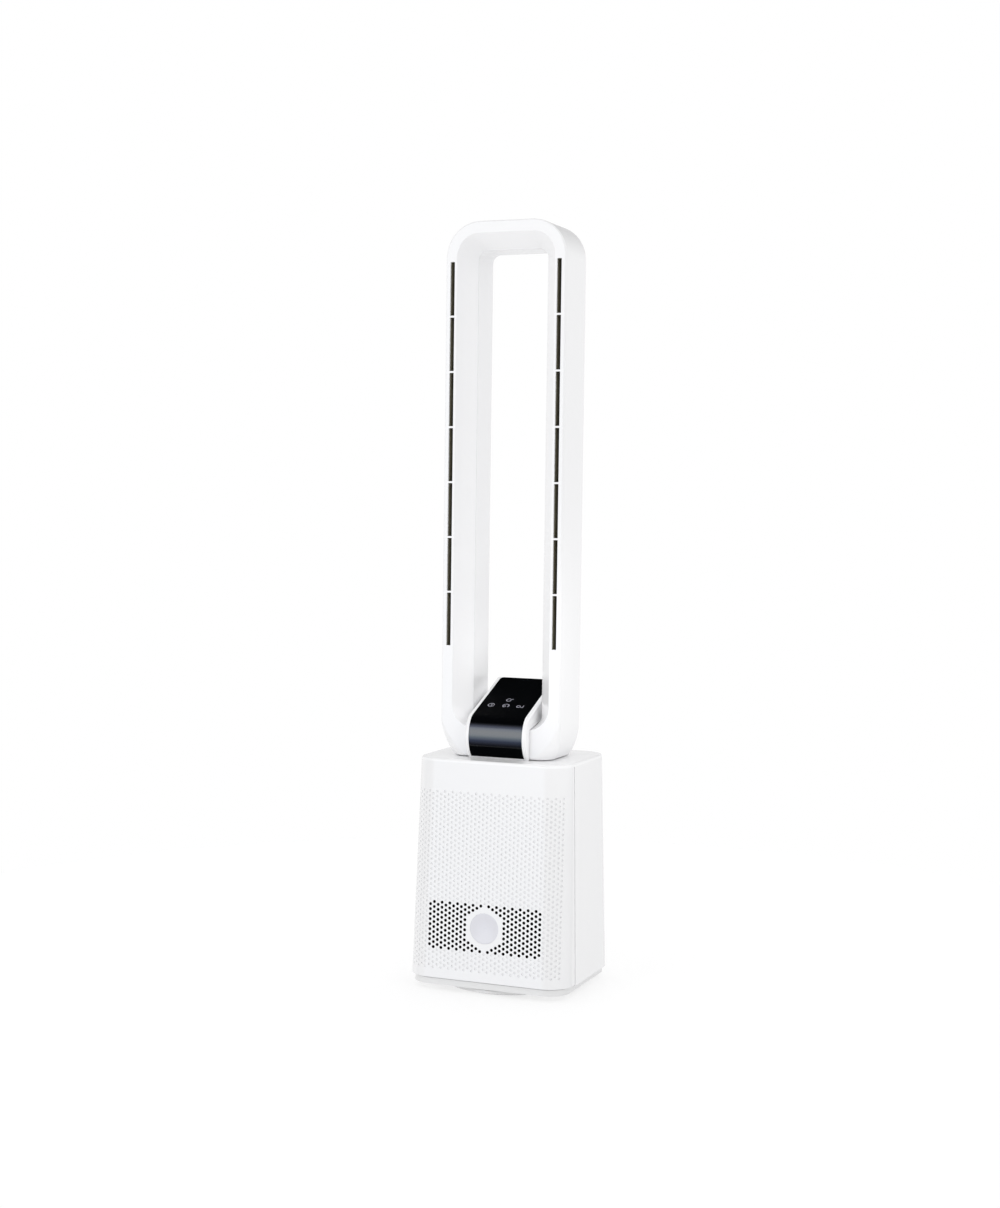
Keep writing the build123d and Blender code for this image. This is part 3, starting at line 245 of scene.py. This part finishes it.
# %% Finish for each solid piece
DRESS = {
    gloss_abs: "top_deck loop_front_shell loop_rear_shell console_housing",
    base_abs: "side_shell rear_cover front_cover",
    satin_abs: "bottom_tray foot_disc filter_frame",
    panel_acrylic: "touch_panel",
    lens_acrylic: "display_lens",
    screen_film: "window_screen",
    nozzle_abs: "left_nozzle right_nozzle",
    duct_abs: "shroud guide_vanes neck_duct fan_carrier flow_splitter",
    rotor_nylon: "impeller",
    gear_acetal: "ring_gear oscillation_pinion roller_cage tray_bush",
    zinc_steel: "spindle spindle_nut foot_screws lower_race upper_race rollers tray_screws "
                "motor_bearings motor_shaft impeller_nut display_screws loop_screws "
                "console_screws oscillation_motor",
    alloy: "fan_motor",
    rubber: "foot_pad fan_mounts neck_seal cable_gland",
    cast_weight: "ballast_plate",
    board_mask: "main_board display_board touch_board",
    filter_felt: "filter_media",
}
for material, names in DRESS.items():
    for name in names.split():
        nodes[name].data.materials.clear()
        nodes[name].data.materials.append(material)
print(sum(len(names.split()) for names in DRESS.values()), "pieces dressed")

# %% [markdown]
# ## Helpers for meshes
# A new piece is worked out as whole numpy arrays of points and faces and handed to the mesh in
# one go, with its place already in the points, so that the object itself stays at the origin.
# Edges sharper than 30 degrees stay crisp and the rest are shaded smooth.

# %% Mesh helpers
SHARP_EDGE = math.radians(30.0)


def surface(name, points, faces, material):
    """A mesh object from an array of points and a list of faces, each a list of numbers."""
    mesh = bpy.data.meshes.new(name)
    mesh.from_pydata(np.asarray(points, float).tolist(), [], faces)
    mesh.validate()
    mesh.shade_smooth()
    mesh.set_sharp_from_angle(angle=SHARP_EDGE)
    mesh.materials.append(material)
    made = bpy.data.objects.new(name, mesh)
    bpy.context.scene.collection.objects.link(made)
    mesh.calc_loop_triangles()
    print(name, len(mesh.loop_triangles), "triangles")
    return made


def piece(name, points, faces, material, body):
    """A surface that belongs to the fan: it moves with body and takes the given material."""
    made = surface(name, points, faces, material)
    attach(made, body)
    return made


# %% [markdown]
# ## The perforated front cover
# The front of the base is one moulding that wraps both front corners. It carries a grid of
# dots, 5 mm apart across and 6 mm apart up, every second column shifted by half a step. In the
# window the dots are holes; everywhere else they are shallow dimples. The usual way is to cut
# them one by one with a boolean, but 1,300 cuts are slow and leave slivers. Here each dot is a
# small cell of a lattice: twelve points round the cell and rings of twelve points inside it.
# Neighbouring cells share their border points, so the lattice is one closed skin. It is drawn
# flat, in mm, and then wrapped round the base.

# %% Sizes of the base and of its dots, in mm
BASE_W = (204.0, 194.0)          # width low and high
BASE_D = (172.0, 152.0)          # depth low and high
BASE_Z = (15.5, 277.0)
CORNER_R = 30.0
COVER_T = 2.6
COVER_TOP = 273.5
SEAM_Y = -45.65                  # where the cover meets the side shell
ROLL_DEPTH, ROLL_W = 0.7, 7.0    # the skin rolls in a little towards its back edge
PITCH_S, PITCH_Z = 5.0, 6.0
HOLE_R, DOT_R, LIP = 1.88, 1.55, 0.12     # the lip is a small bevel round every dot
DIMPLE_DEPTH, DIMPLE_FLOOR_R = 1.15, 1.3
# The dark colour of the throat and flare is painted shade of the hole.
THROAT_DEPTH, FLARE_R = 0.3, 2.3          # below its lip a hole opens out, painted dark
COLUMNS = 19                     # dotted columns each side of the middle one
DOT_TOP = {1: 238.0, 0: 235.0}   # highest dot in odd and in even columns
DOT_ROWS = {1: 36, 0: 35}
WINDOW_COLUMNS = 14
WINDOW_TOP = {1: 106.0, 0: 103.0}
WINDOW_ROWS = {1: 10, 0: 9}
LENS_Z, LENS_HOLE_R, LENS_CLEAR = 79.5, 18.1, 25.0
SAME = 0.1                       # heights nearer than this are the same row

# %% [markdown]
# ### Wrapping the flat drawing
# Seen from above, the front is a straight line, a quarter circle at each corner and a straight
# line back along each side. Seen from the front, it widens downwards. So one function takes
# the distance s across the skin and the height z, and bends the drawing round that outline.


# %% Wrapping functions
def straight_halves(z):
    """Half the straight part of the outline, across and from front to back, at height z: the
    size grows evenly from the top to the bottom, less one corner radius."""
    share = (z - BASE_Z[0]) / (BASE_Z[1] - BASE_Z[0])
    return [(low + (high - low) * share) / 2 - CORNER_R for low, high in (BASE_W, BASE_D)]


def on_base(s, z, depth):
    """Straight on for the straight half, then an arc of the corner radius, whose angle is the
    rest of s over that radius, then straight back along the side. depth is how far behind the
    skin the point lies."""
    flat, back = straight_halves(z)
    along = np.abs(s)
    angle = np.clip((along - flat) / CORNER_R, 0, math.pi / 2)
    past = np.maximum(along - flat - CORNER_R * math.pi / 2, 0)
    x = np.sign(s) * (np.minimum(along, flat) + (CORNER_R - depth) * np.sin(angle))
    y = -back - (CORNER_R - depth) * np.cos(angle) + past
    return np.stack([x, y, z + 0 * x], -1) * MM


def seam_length(z):
    """Distance round the skin from the middle of the front to the seam at height z: the
    straight half, a quarter circle, and the way back along the side."""
    flat, back = straight_halves(z)
    return flat + CORNER_R * math.pi / 2 + SEAM_Y + back


print("seam at", round(seam_length(BASE_Z[0]), 1), "mm low,",
      round(seam_length(COVER_TOP), 1), "mm high")

# %% [markdown]
# ### The lattice of dots
# Every dot is the middle of a cell of one step by one step. Dots that would touch the round
# lens are left out, which leaves a plain ring round it.

# %% Cells and their centres
BORDER = np.array([(1, 0), (1, 1), (.5, 1), (0, 1), (-.5, 1), (-1, 1), (-1, 0), (-1, -1),
                   (-.5, -1), (0, -1), (.5, -1), (1, -1)]) * (PITCH_S / 2, PITCH_Z / 2)
SIDES = len(BORDER)
twelfths = np.arange(SIDES) * 2 * math.pi / SIDES
RING = np.stack([np.cos(twelfths), np.sin(twelfths)], -1)


def dot_centres():
    """Every cell centre (s, z), column by column from the top down, with True where the window
    makes it a hole."""
    centres, in_window = [], []
    for i in range(-COLUMNS, COLUMNS + 1):
        z = DOT_TOP[i % 2] - PITCH_Z * np.arange(DOT_ROWS[i % 2])
        top = WINDOW_TOP[i % 2] + SAME
        low = top - WINDOW_ROWS[i % 2] * PITCH_Z
        centres.append(np.stack([0 * z + i * PITCH_S, z], -1))
        in_window.append((abs(i) <= WINDOW_COLUMNS) & (z <= top) & (z > low))
    return np.concatenate(centres), np.concatenate(in_window)


centres, in_window = dot_centres()
near_lens = np.hypot(centres[:, 0], centres[:, 1] - LENS_Z) < LENS_CLEAR
hole, dimple = in_window & ~near_lens, ~in_window & ~near_lens
print(hole.sum(), "holes,", dimple.sum(), "dimples")

# %% [markdown]
# ### Plain strips round the lattice
# Above, below and beside the dots the skin is plain, and short columns leave half a cell open
# at their ends. These parts are grids of four-sided cells whose points fall on the points of
# the lattice, so that the two can be joined without a gap.

# %% Plain strips
Z_LOW = DOT_TOP[1] - PITCH_Z * (DOT_ROWS[1] - 1) - PITCH_Z / 2
Z_HIGH = DOT_TOP[1] + PITCH_Z / 2
S_EDGE = (COLUMNS + .5) * PITCH_S
LOW_STEPS, HIGH_STEPS, SIDE_STEPS = 4, 8, 13


def quads_of(grid):
    """The cells of a grid of points, each as its four corner points in turn."""
    corners = [grid[:-1, :-1], grid[1:, :-1], grid[1:, 1:], grid[:-1, 1:]]
    return np.stack(corners, 2).reshape(-1, 4, 2)


def grid_of(s, z):
    """The points (s, z) of every s with every z."""
    return np.stack(np.meshgrid(s, z, indexing="ij"), -1)


fine_s = np.arange(-S_EDGE, S_EDGE + SAME, PITCH_S / 4)
low_z = np.linspace(BASE_Z[0], Z_LOW, LOW_STEPS)
high_z = np.linspace(Z_HIGH, COVER_TOP, HIGH_STEPS)
strips = [quads_of(grid_of(fine_s, low_z)), quads_of(grid_of(fine_s, high_z))]
for i in range(-COLUMNS + 1, COLUMNS, 2):
    columns = i * PITCH_S + np.arange(-2, 3) * PITCH_S / 4
    for z in (Z_LOW, Z_HIGH - PITCH_Z / 2):
        strips.append(quads_of(grid_of(columns, np.array([z, z + PITCH_Z / 2]))))

side_z = np.concatenate([low_z[:-1], np.arange(Z_LOW, Z_HIGH + SAME, PITCH_Z / 2), high_z[1:]])
side = grid_of(np.linspace(0, 1, SIDE_STEPS), side_z)
side_s = S_EDGE + side[..., 0] * (seam_length(side[..., 1]) - S_EDGE)
for sign in (1, -1):
    strips.append(quads_of(np.stack([sign * side_s, side[..., 1]], -1))[:, ::sign])
strips = np.concatenate(strips)
print(len(strips), "plain cells")

# %% [markdown]
# ### Welding the drawing into one skin
# Cells and strips were drawn apart, so they repeat the points on their borders. Rounding every
# point to a thousandth of a millimetre and keeping each place once gives every point one
# number, and the faces then name points by number. A merge by distance in Blender would do the
# same, but the numbers are needed here for the rings and for the back of the skin.


# %% Welding
def weld(flat_points):
    """Gives equal points one number each: (unique points, number of every input point)."""
    keys = np.round(flat_points, 3)
    unique, number = np.unique(keys, axis=0, return_inverse=True)
    return unique, number.reshape(-1)


cells = centres[:, None] + BORDER[None]
drawing, number = weld(np.concatenate([cells.reshape(-1, 2), strips.reshape(-1, 2)]))
cell_ids = number[:cells.size // 2].reshape(-1, SIDES)
strip_ids = number[cells.size // 2:].reshape(-1, 4)
count = len(drawing)
print(count, "points in the drawing")


def border_edges(*groups):
    """Directed edges that only one face has, as an array of (from, to). An edge is known by
    its lower and higher number, whichever way a face runs along it."""
    edges = np.concatenate([np.stack([g, np.roll(g, -1, 1)], -1).reshape(-1, 2) for g in groups])
    low, high = edges.min(1), edges.max(1)
    key = low.astype(np.int64) * count + high
    _, first, seen = np.unique(key, return_index=True, return_counts=True)
    return edges[first[seen == 1]]


# %% [markdown]
# ### Two skins with holes and dimples
# The moulding has a front skin and a back skin, 2.6 mm apart. A hole joins the two with a lip,
# a short throat and a wide flare, both coloured with a painted shade that makes the hole look
# dark. A dimple goes down to a floor and leaves the back plain.
# The small object below only collects: it numbers the points that it is given and keeps the
# faces, so each step can name the points of the steps before it.


# %% A skin that grows
class Skin:
    """Points and faces, collected step by step."""

    def __init__(self):
        self.points, self.faces, self.total = [], [], 0

    def add(self, points):
        """Takes an array of points and returns their numbers in the same arrangement."""
        self.points.append(points.reshape(-1, 3))
        ids = self.total + np.arange(len(self.points[-1])).reshape(points.shape[:-1])
        self.total += ids.size
        return ids

    def fill(self, ids):
        """One face for each row of numbers."""
        self.faces.extend(ids.tolist())

    def band(self, outer, inner, flip=False):
        """Four-sided faces between two rings of numbers; flip turns them to the back."""
        quads = np.stack([outer, np.roll(outer, -1, 1), np.roll(inner, -1, 1), inner], -1)
        quads = quads.reshape(-1, 4)
        self.fill(quads[:, ::-1] if flip else quads)


# %% Front and back, with the dots
skin = Skin()
to_seam = seam_length(drawing[:, 1]) - np.abs(drawing[:, 0])
rolled = ROLL_DEPTH * np.clip(1 - to_seam / ROLL_W, 0, 1) ** 2
front = skin.add(on_base(drawing[:, 0], drawing[:, 1], rolled))
back = skin.add(on_base(drawing[:, 0], drawing[:, 1], COVER_T))


def dot_rings(mask, radius, depth):
    """One ring of twelve points in every chosen cell, at one depth: the cell's centre plus
    radius times the unit circle."""
    ring = centres[mask][:, None] + RING[None] * radius
    return skin.add(on_base(ring[..., 0], ring[..., 1], depth))


hole_shade_faces = range(0)
for mask, radius, deep_r, deep in ((hole, HOLE_R, HOLE_R, THROAT_DEPTH),
                                   (dimple, DOT_R, DIMPLE_FLOOR_R, DIMPLE_DEPTH)):
    edge = dot_rings(mask, radius + LIP, 0.0)
    wall = dot_rings(mask, radius, LIP)
    floor_ring = dot_rings(mask, deep_r, deep)
    skin.band(front[cell_ids[mask]], edge)
    skin.band(edge, wall)
    # From here on, a hole's throat, flare and back get the painted shade.
    first_hole_shade = len(skin.faces)
    skin.band(wall, floor_ring)
    if mask is hole:
        flare = dot_rings(mask, FLARE_R, COVER_T)
        skin.band(floor_ring, flare)
        skin.band(back[cell_ids[mask]], flare, flip=True)
        hole_shade_faces = range(first_hole_shade, len(skin.faces))
    else:
        skin.fill(floor_ring)
        skin.fill(back[cell_ids[mask]][:, ::-1])
skin.fill(front[strip_ids])
skin.fill(back[strip_ids][:, ::-1])
print(len(skin.faces), "faces,", len(hole_shade_faces), "of them with painted hole shade")

# %% [markdown]
# ### The seat of the lens
# Round the lens the cells were left out, which leaves an opening with a stepped border. Each
# border point gets a partner on the round rim of the seat, in the same direction from the
# lens's middle, so the stepped border and the circle are joined by one fan of faces.

# %% Round the lens
seat_ids = np.unique(border_edges(cell_ids[near_lens]))
angle = np.arctan2(drawing[seat_ids, 1] - LENS_Z, drawing[seat_ids, 0])
seat_ids, angle = seat_ids[np.argsort(angle)][None], np.sort(angle)
circle = np.stack([LENS_HOLE_R * np.cos(angle), LENS_Z + LENS_HOLE_R * np.sin(angle)], -1)
rims = [skin.add(on_base(circle[:, 0], circle[:, 1], depth))[None] for depth in (0.0, COVER_T)]
skin.band(front[seat_ids], rims[0])
skin.band(rims[0], rims[1])
skin.band(back[seat_ids], rims[1], flip=True)
print(seat_ids.size, "points round the lens")

# %% [markdown]
# ### Closing the moulding
# The outer border of the front skin is joined to that of the back skin, which gives the
# moulding its edge. It then stands in for the plain front cover of the engineering model,
# riding on the same body.

# %% Edge of the moulding, and the finished piece
rim = border_edges(cell_ids, strip_ids)
skin.fill(np.stack([front[rim[:, 1]], front[rim[:, 0]], back[rim[:, 0]], back[rim[:, 1]]], -1))
cover = piece("front_cover_moulding", np.concatenate(skin.points), skin.faces, base_abs, "tower")
# The second material is the painted shade of the holes.
cover.data.materials.append(painted_hole_shade)
paint = np.zeros(len(cover.data.polygons), int)
paint[hole_shade_faces.start:hole_shade_faces.stop] = 1
cover.data.polygons.foreach_set("material_index", paint)
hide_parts("front_cover")

# %% [markdown]
# ## The touch signs
# Four plain signs are printed in grey on the black panel: on and off, speed, a clock and a
# swing arrow. They could be curves with a bevel, but each is a set of flat strokes of one
# width, so a stroke is a ribbon: a centre line on the sloping panel, widened to both sides
# along its normal and given the thickness of a coat of ink.

# %% The sloping plane of the panel, in mm
RAMP_Y, RAMP_Z, RAMP_SLOPE = -42.0, 329.8, math.radians(22.8)
INK_LIFT, INK_T, INK_HALF = 0.04, 0.05, 0.37


def on_ramp(u, v, lift):
    """u runs across and v up the slope from the drawing's origin, so v times the slope's
    cosine goes back and v times its sine goes up; lift is above the panel, square to it."""
    y = v * math.cos(RAMP_SLOPE) - lift * math.sin(RAMP_SLOPE)
    z = v * math.sin(RAMP_SLOPE) + lift * math.cos(RAMP_SLOPE)
    return np.stack([u, RAMP_Y + y, RAMP_Z + z], -1) * MM


def ribbon(line):
    """Each point of the line goes to both sides along the normal, which is the direction of
    the line turned by a quarter, at two heights. Returns points and four-sided faces."""
    along = np.gradient(line, axis=0)
    along /= np.linalg.norm(along, axis=1, keepdims=True)
    normal = np.stack([-along[:, 1], along[:, 0]], -1) * INK_HALF
    left, right, top = line + normal, line - normal, INK_LIFT + INK_T
    corners = [on_ramp(*side.T, lift) for side, lift in
               ((left, INK_LIFT), (left, top), (right, top), (right, INK_LIFT))]
    n = len(line)
    step, corner = np.arange(n - 1), np.arange(4)[:, None] * n
    after = np.roll(corner, -1, 0)
    walls = np.stack([step + corner, step + 1 + corner, step + 1 + after, step + after], -1)
    ends = [[0, n, 2 * n, 3 * n], [4 * n - 1, 3 * n - 1, 2 * n - 1, n - 1]]
    return np.concatenate(corners), np.concatenate([walls.reshape(-1, 4), ends])


def arc(radius, start, end, n=28, x=0.0, y=0.0):
    """Points at even angles from start to end, in degrees, on a circle about (x, y)."""
    t = np.radians(np.linspace(start, end, n))
    return np.stack([x + radius * np.cos(t), y + radius * np.sin(t)], -1)


def stroke(x0, y0, x1, y1, n=4):
    """Points at even steps on the straight line from (x0, y0) to (x1, y1)."""
    return np.linspace((x0, y0), (x1, y1), n)


# %% Drawing the four signs
SIGNS = {
    "on and off": ((-20.0, 22.0), [arc(3.8, 0, 345), stroke(0.5, -2.3, 0.5, 2.7)]),
    "speed": ((-0.9, 22.0), [arc(3.9, -50, 240), arc(1.5, 0, 345, x=-1.5, y=-1.7)]),
    "clock": ((17.5, 22.3), [arc(2.3, 0, 345, x=-1.9, y=-0.8), stroke(1.3, -2.9, 3.9, -2.9),
                             stroke(3.9, -2.9, 3.9, 2.4)]),
    "swing": ((-1.3, 36.4), [arc(3.1, 55, 350, x=-0.9), stroke(1.4, 1.4, 4.6, 2.6)]),
}
# Screen-printed ink: thin, even and half matt, so it reads as a pale grey at any angle.
ink = finish_of("grey printed ink", "#B4B4C1", 0.45, peel=0.002, peel_mm=1.0, mottle=0.05,
                mottle_mm=2.0)
ribbons = [ribbon(line + middle) for middle, lines in SIGNS.values() for line in lines]
first = np.cumsum([0] + [len(points) for points, _ in ribbons])
sign_faces = np.concatenate([quads + start for (_, quads), start in zip(ribbons, first)])
signs = piece("touch_signs", np.concatenate([points for points, _ in ribbons]),
              sign_faces.tolist(), ink, "tower")

# %% [markdown]
# ## Floor
# The fan stands on a white table that seems to be lit from below and leaves hardly any
# shadow. A white floor under plain lamps would turn grey beside the white surround, so this
# one is a pale sheet that also glows. It is hidden from reflections, because the edge of a
# glowing disc would show as a line in the black panel.

# %% Floor sheet
FLOOR_R, FLOOR_HOLE_R, FLOOR_DROP = 1.0, 0.02, 0.0002    # m; just below the fan's foot
FLOOR_GLOW = 0.63


def floor_disc(radius, rings=16, n=96):
    """A flat round sheet: rings of n points at even angles, the rings at even steps of radius.
    The innermost ring is filled with one face."""
    r = np.linspace(FLOOR_HOLE_R, radius, rings)[:, None]
    t = np.linspace(0, 2 * math.pi, n, endpoint=False)
    p = np.stack([r * np.cos(t), r * np.sin(t), 0 * r * t - FLOOR_DROP], -1).reshape(-1, 3)
    k = np.arange((rings - 1) * n)
    after = k // n * n + (k + 1) % n
    return p, np.stack([k, k + n, after + n, after], -1).tolist() + [list(range(n))]


# Sand-blasted sheet lit from below: even and matt, without a highlight.
floor_finish = finish_of("pale lit acrylic", "#A8A8A8", 0.9, mottle=0.03, mottle_mm=60.0)
glow = floor_finish.node_tree.nodes["Principled BSDF"].inputs
glow["Emission Color"].default_value = (1, 1, 1, 1)
glow["Emission Strength"].default_value = FLOOR_GLOW
floor = surface("floor", *floor_disc(FLOOR_R), floor_finish)
floor.visible_glossy = False

# %% [markdown]
# ## Light
# The studio is a white tent: even light from all round, which keeps every side of a white
# product nearly the same tone. It could be built from walls and lamps, but a surround that
# answers each kind of ray by itself is simpler and has no noise. The camera sees plain white.
# Matt surfaces get the even light. Glossy surfaces see what stood in the studio: a tent that
# is bright behind the fan at its own height and dim elsewhere, and a softbox to the left of
# the camera, whose bands show in the round front of the panel.

# %% Directions in the surround
EVEN, TENT, BOX = 0.955, 0.85, 1.8    # strengths
TENT_LOW, BOX_LOW = -0.2, -1.0        # sine of the height where each colour ramp starts

world = bpy.data.worlds.new("tent")
world.use_nodes = True
bpy.context.scene.world = world
tree = world.node_tree
tree.nodes.clear()
way = add(tree, "ShaderNodeTexCoord").outputs["Generated"]
part = add(tree, "ShaderNodeSeparateXYZ", Vector=way)
forward = add(tree, "ShaderNodeMath", {"operation": "MULTIPLY"}, _0=part.outputs["Y"], _1=-1.0)
bearing = add(tree, "ShaderNodeMath", {"operation": "ARCTAN2"}, _0=part.outputs["X"],
              _1=forward.outputs[0])
around = add(tree, "ShaderNodeMapRange", Value=bearing.outputs[0], From_Min=-math.pi,
             From_Max=math.pi).outputs[0]
tent_height, box_height = (
    add(tree, "ShaderNodeMapRange", Value=part.outputs["Z"], From_Min=low, From_Max=1.0).outputs[0]
    for low in (TENT_LOW, BOX_LOW))


def ramp_of(value, place, stops):
    """A colour ramp over value. Each stop is (degrees, colour), where a single number stands
    for a grey, and place turns the degrees into a position on the ramp."""
    node = add(tree, "ShaderNodeValToRGB", Fac=value)
    ramp = node.color_ramp
    for k, (degrees, colour) in enumerate(stops):
        stop = ramp.elements[k] if k < 2 else ramp.elements.new(1.0)
        stop.position = place(degrees)
        stop.color = (*(colour if isinstance(colour, tuple) else (colour,) * 3), 1)
    return node.outputs["Color"]


def in_tent(degrees):
    """The sine of the angle above the horizon, counted from TENT_LOW up to straight above."""
    return (math.sin(math.radians(degrees)) - TENT_LOW) / (1 - TENT_LOW)


def in_box(degrees):
    """The sine of the angle above the horizon, counted from straight below to above."""
    return (math.sin(math.radians(degrees)) - BOX_LOW) / (1 - BOX_LOW)


def turned(degrees):
    """The bearing, 0 in front and 90 to the right, as a share of a whole turn."""
    return (degrees + 180) / 360


print(len(tree.nodes), "nodes find the direction")

# %% What glossy surfaces see
back_up = ramp_of(tent_height, in_tent, [(-11, .95), (9, 1), (20, .42), (30, .12), (90, .03)])
side_up = ramp_of(tent_height, in_tent, [(-11, (.10, .10, .12)), (8, (.22, .24, .28)),
                                         (30, (.25, .25, .27)), (90, .03)])
behind = ramp_of(around, turned, [(-95, 1), (-80, 0), (146, 0), (156, 1)])
tent = add(tree, "ShaderNodeMix", {"data_type": "RGBA"}, _0=behind, _6=side_up, _7=back_up)
box_up = ramp_of(box_height, in_box, [
    (-46, 0), (-29, (.04, .05, .09)), (-18, (.11, .15, .27)), (-12.5, (.34, .41, .56)),
    (-7, (.49, .59, .71)), (-1, (.81, .90, .98)), (5, (.93, .98, 1.05)), (16, (.94, .99, 1.04)),
    (26, (.75, .83, .98)), (32, (.24, .28, .42)), (37, (.13, .16, .26)), (46, 0)])
box_round = ramp_of(around, turned, [(-42, 0), (-33, 1), (-11, 1), (-2, 0)])
box = add(tree, "ShaderNodeVectorMath", {"operation": "MULTIPLY"}, _0=box_up, _1=box_round)

# %% One answer for each kind of ray
WHITE = (1, 1, 1, 1)
ray = add(tree, "ShaderNodeLightPath")
even = add(tree, "ShaderNodeBackground", Color=WHITE, Strength=EVEN)
plain = add(tree, "ShaderNodeBackground", Color=WHITE, Strength=1.0)
dim = add(tree, "ShaderNodeBackground", Color=tent.outputs[2], Strength=TENT)
bright = add(tree, "ShaderNodeBackground", Color=box.outputs[0], Strength=BOX)
mirrored = add(tree, "ShaderNodeAddShader", _0=dim.outputs[0], _1=bright.outputs[0])
lit = add(tree, "ShaderNodeMixShader", Fac=ray.outputs["Is Glossy Ray"], _1=even.outputs[0],
          _2=mirrored.outputs[0])
seen = add(tree, "ShaderNodeMixShader", Fac=ray.outputs["Is Camera Ray"], _1=lit.outputs[0],
           _2=plain.outputs[0])
add(tree, "ShaderNodeOutputWorld", Surface=seen.outputs[0])
print(len(tree.nodes), "nodes in the surround")

# %% [markdown]
# ### Lamps
# Even light alone would leave a white product without shape. A large soft lamp from the left
# models the loop and the base. Two small cards lift the inside of the loop's foot and the deck,
# which the loop would otherwise shade. They are kept out of reflections, like the stands and
# cards that a photographer hides from a glossy product.


# %% Lamps
def lamp(name, place, aim, size, power):
    """A square soft lamp of the given size in m and power in W, looking from place to aim."""
    data = bpy.data.lights.new(name, "AREA")
    data.shape, data.size, data.energy = "SQUARE", size, power
    made = bpy.data.objects.new(name, data)
    facing = (Vector(place) - Vector(aim)).to_track_quat("Z", "Y")
    made.matrix_world = Matrix.Translation(place) @ facing.to_matrix().to_4x4()
    made.visible_glossy = made.visible_camera = False
    bpy.context.scene.collection.objects.link(made)
    print("lamp", name, power, "W")


lamp("left", (-2.0, -1.6, 0.7), (0, 0, 0.45), 1.4, 2.5)
lamp("inner card", (0.030, -0.012, 0.400), (-0.039, -0.012, 0.335), 0.06, 0.011)
lamp("deck card", (0.20, -0.16, 0.43), (0.085, -0.02, 0.277), 0.12, 0.06)
bpy.context.scene.view_settings.view_transform = "Standard"
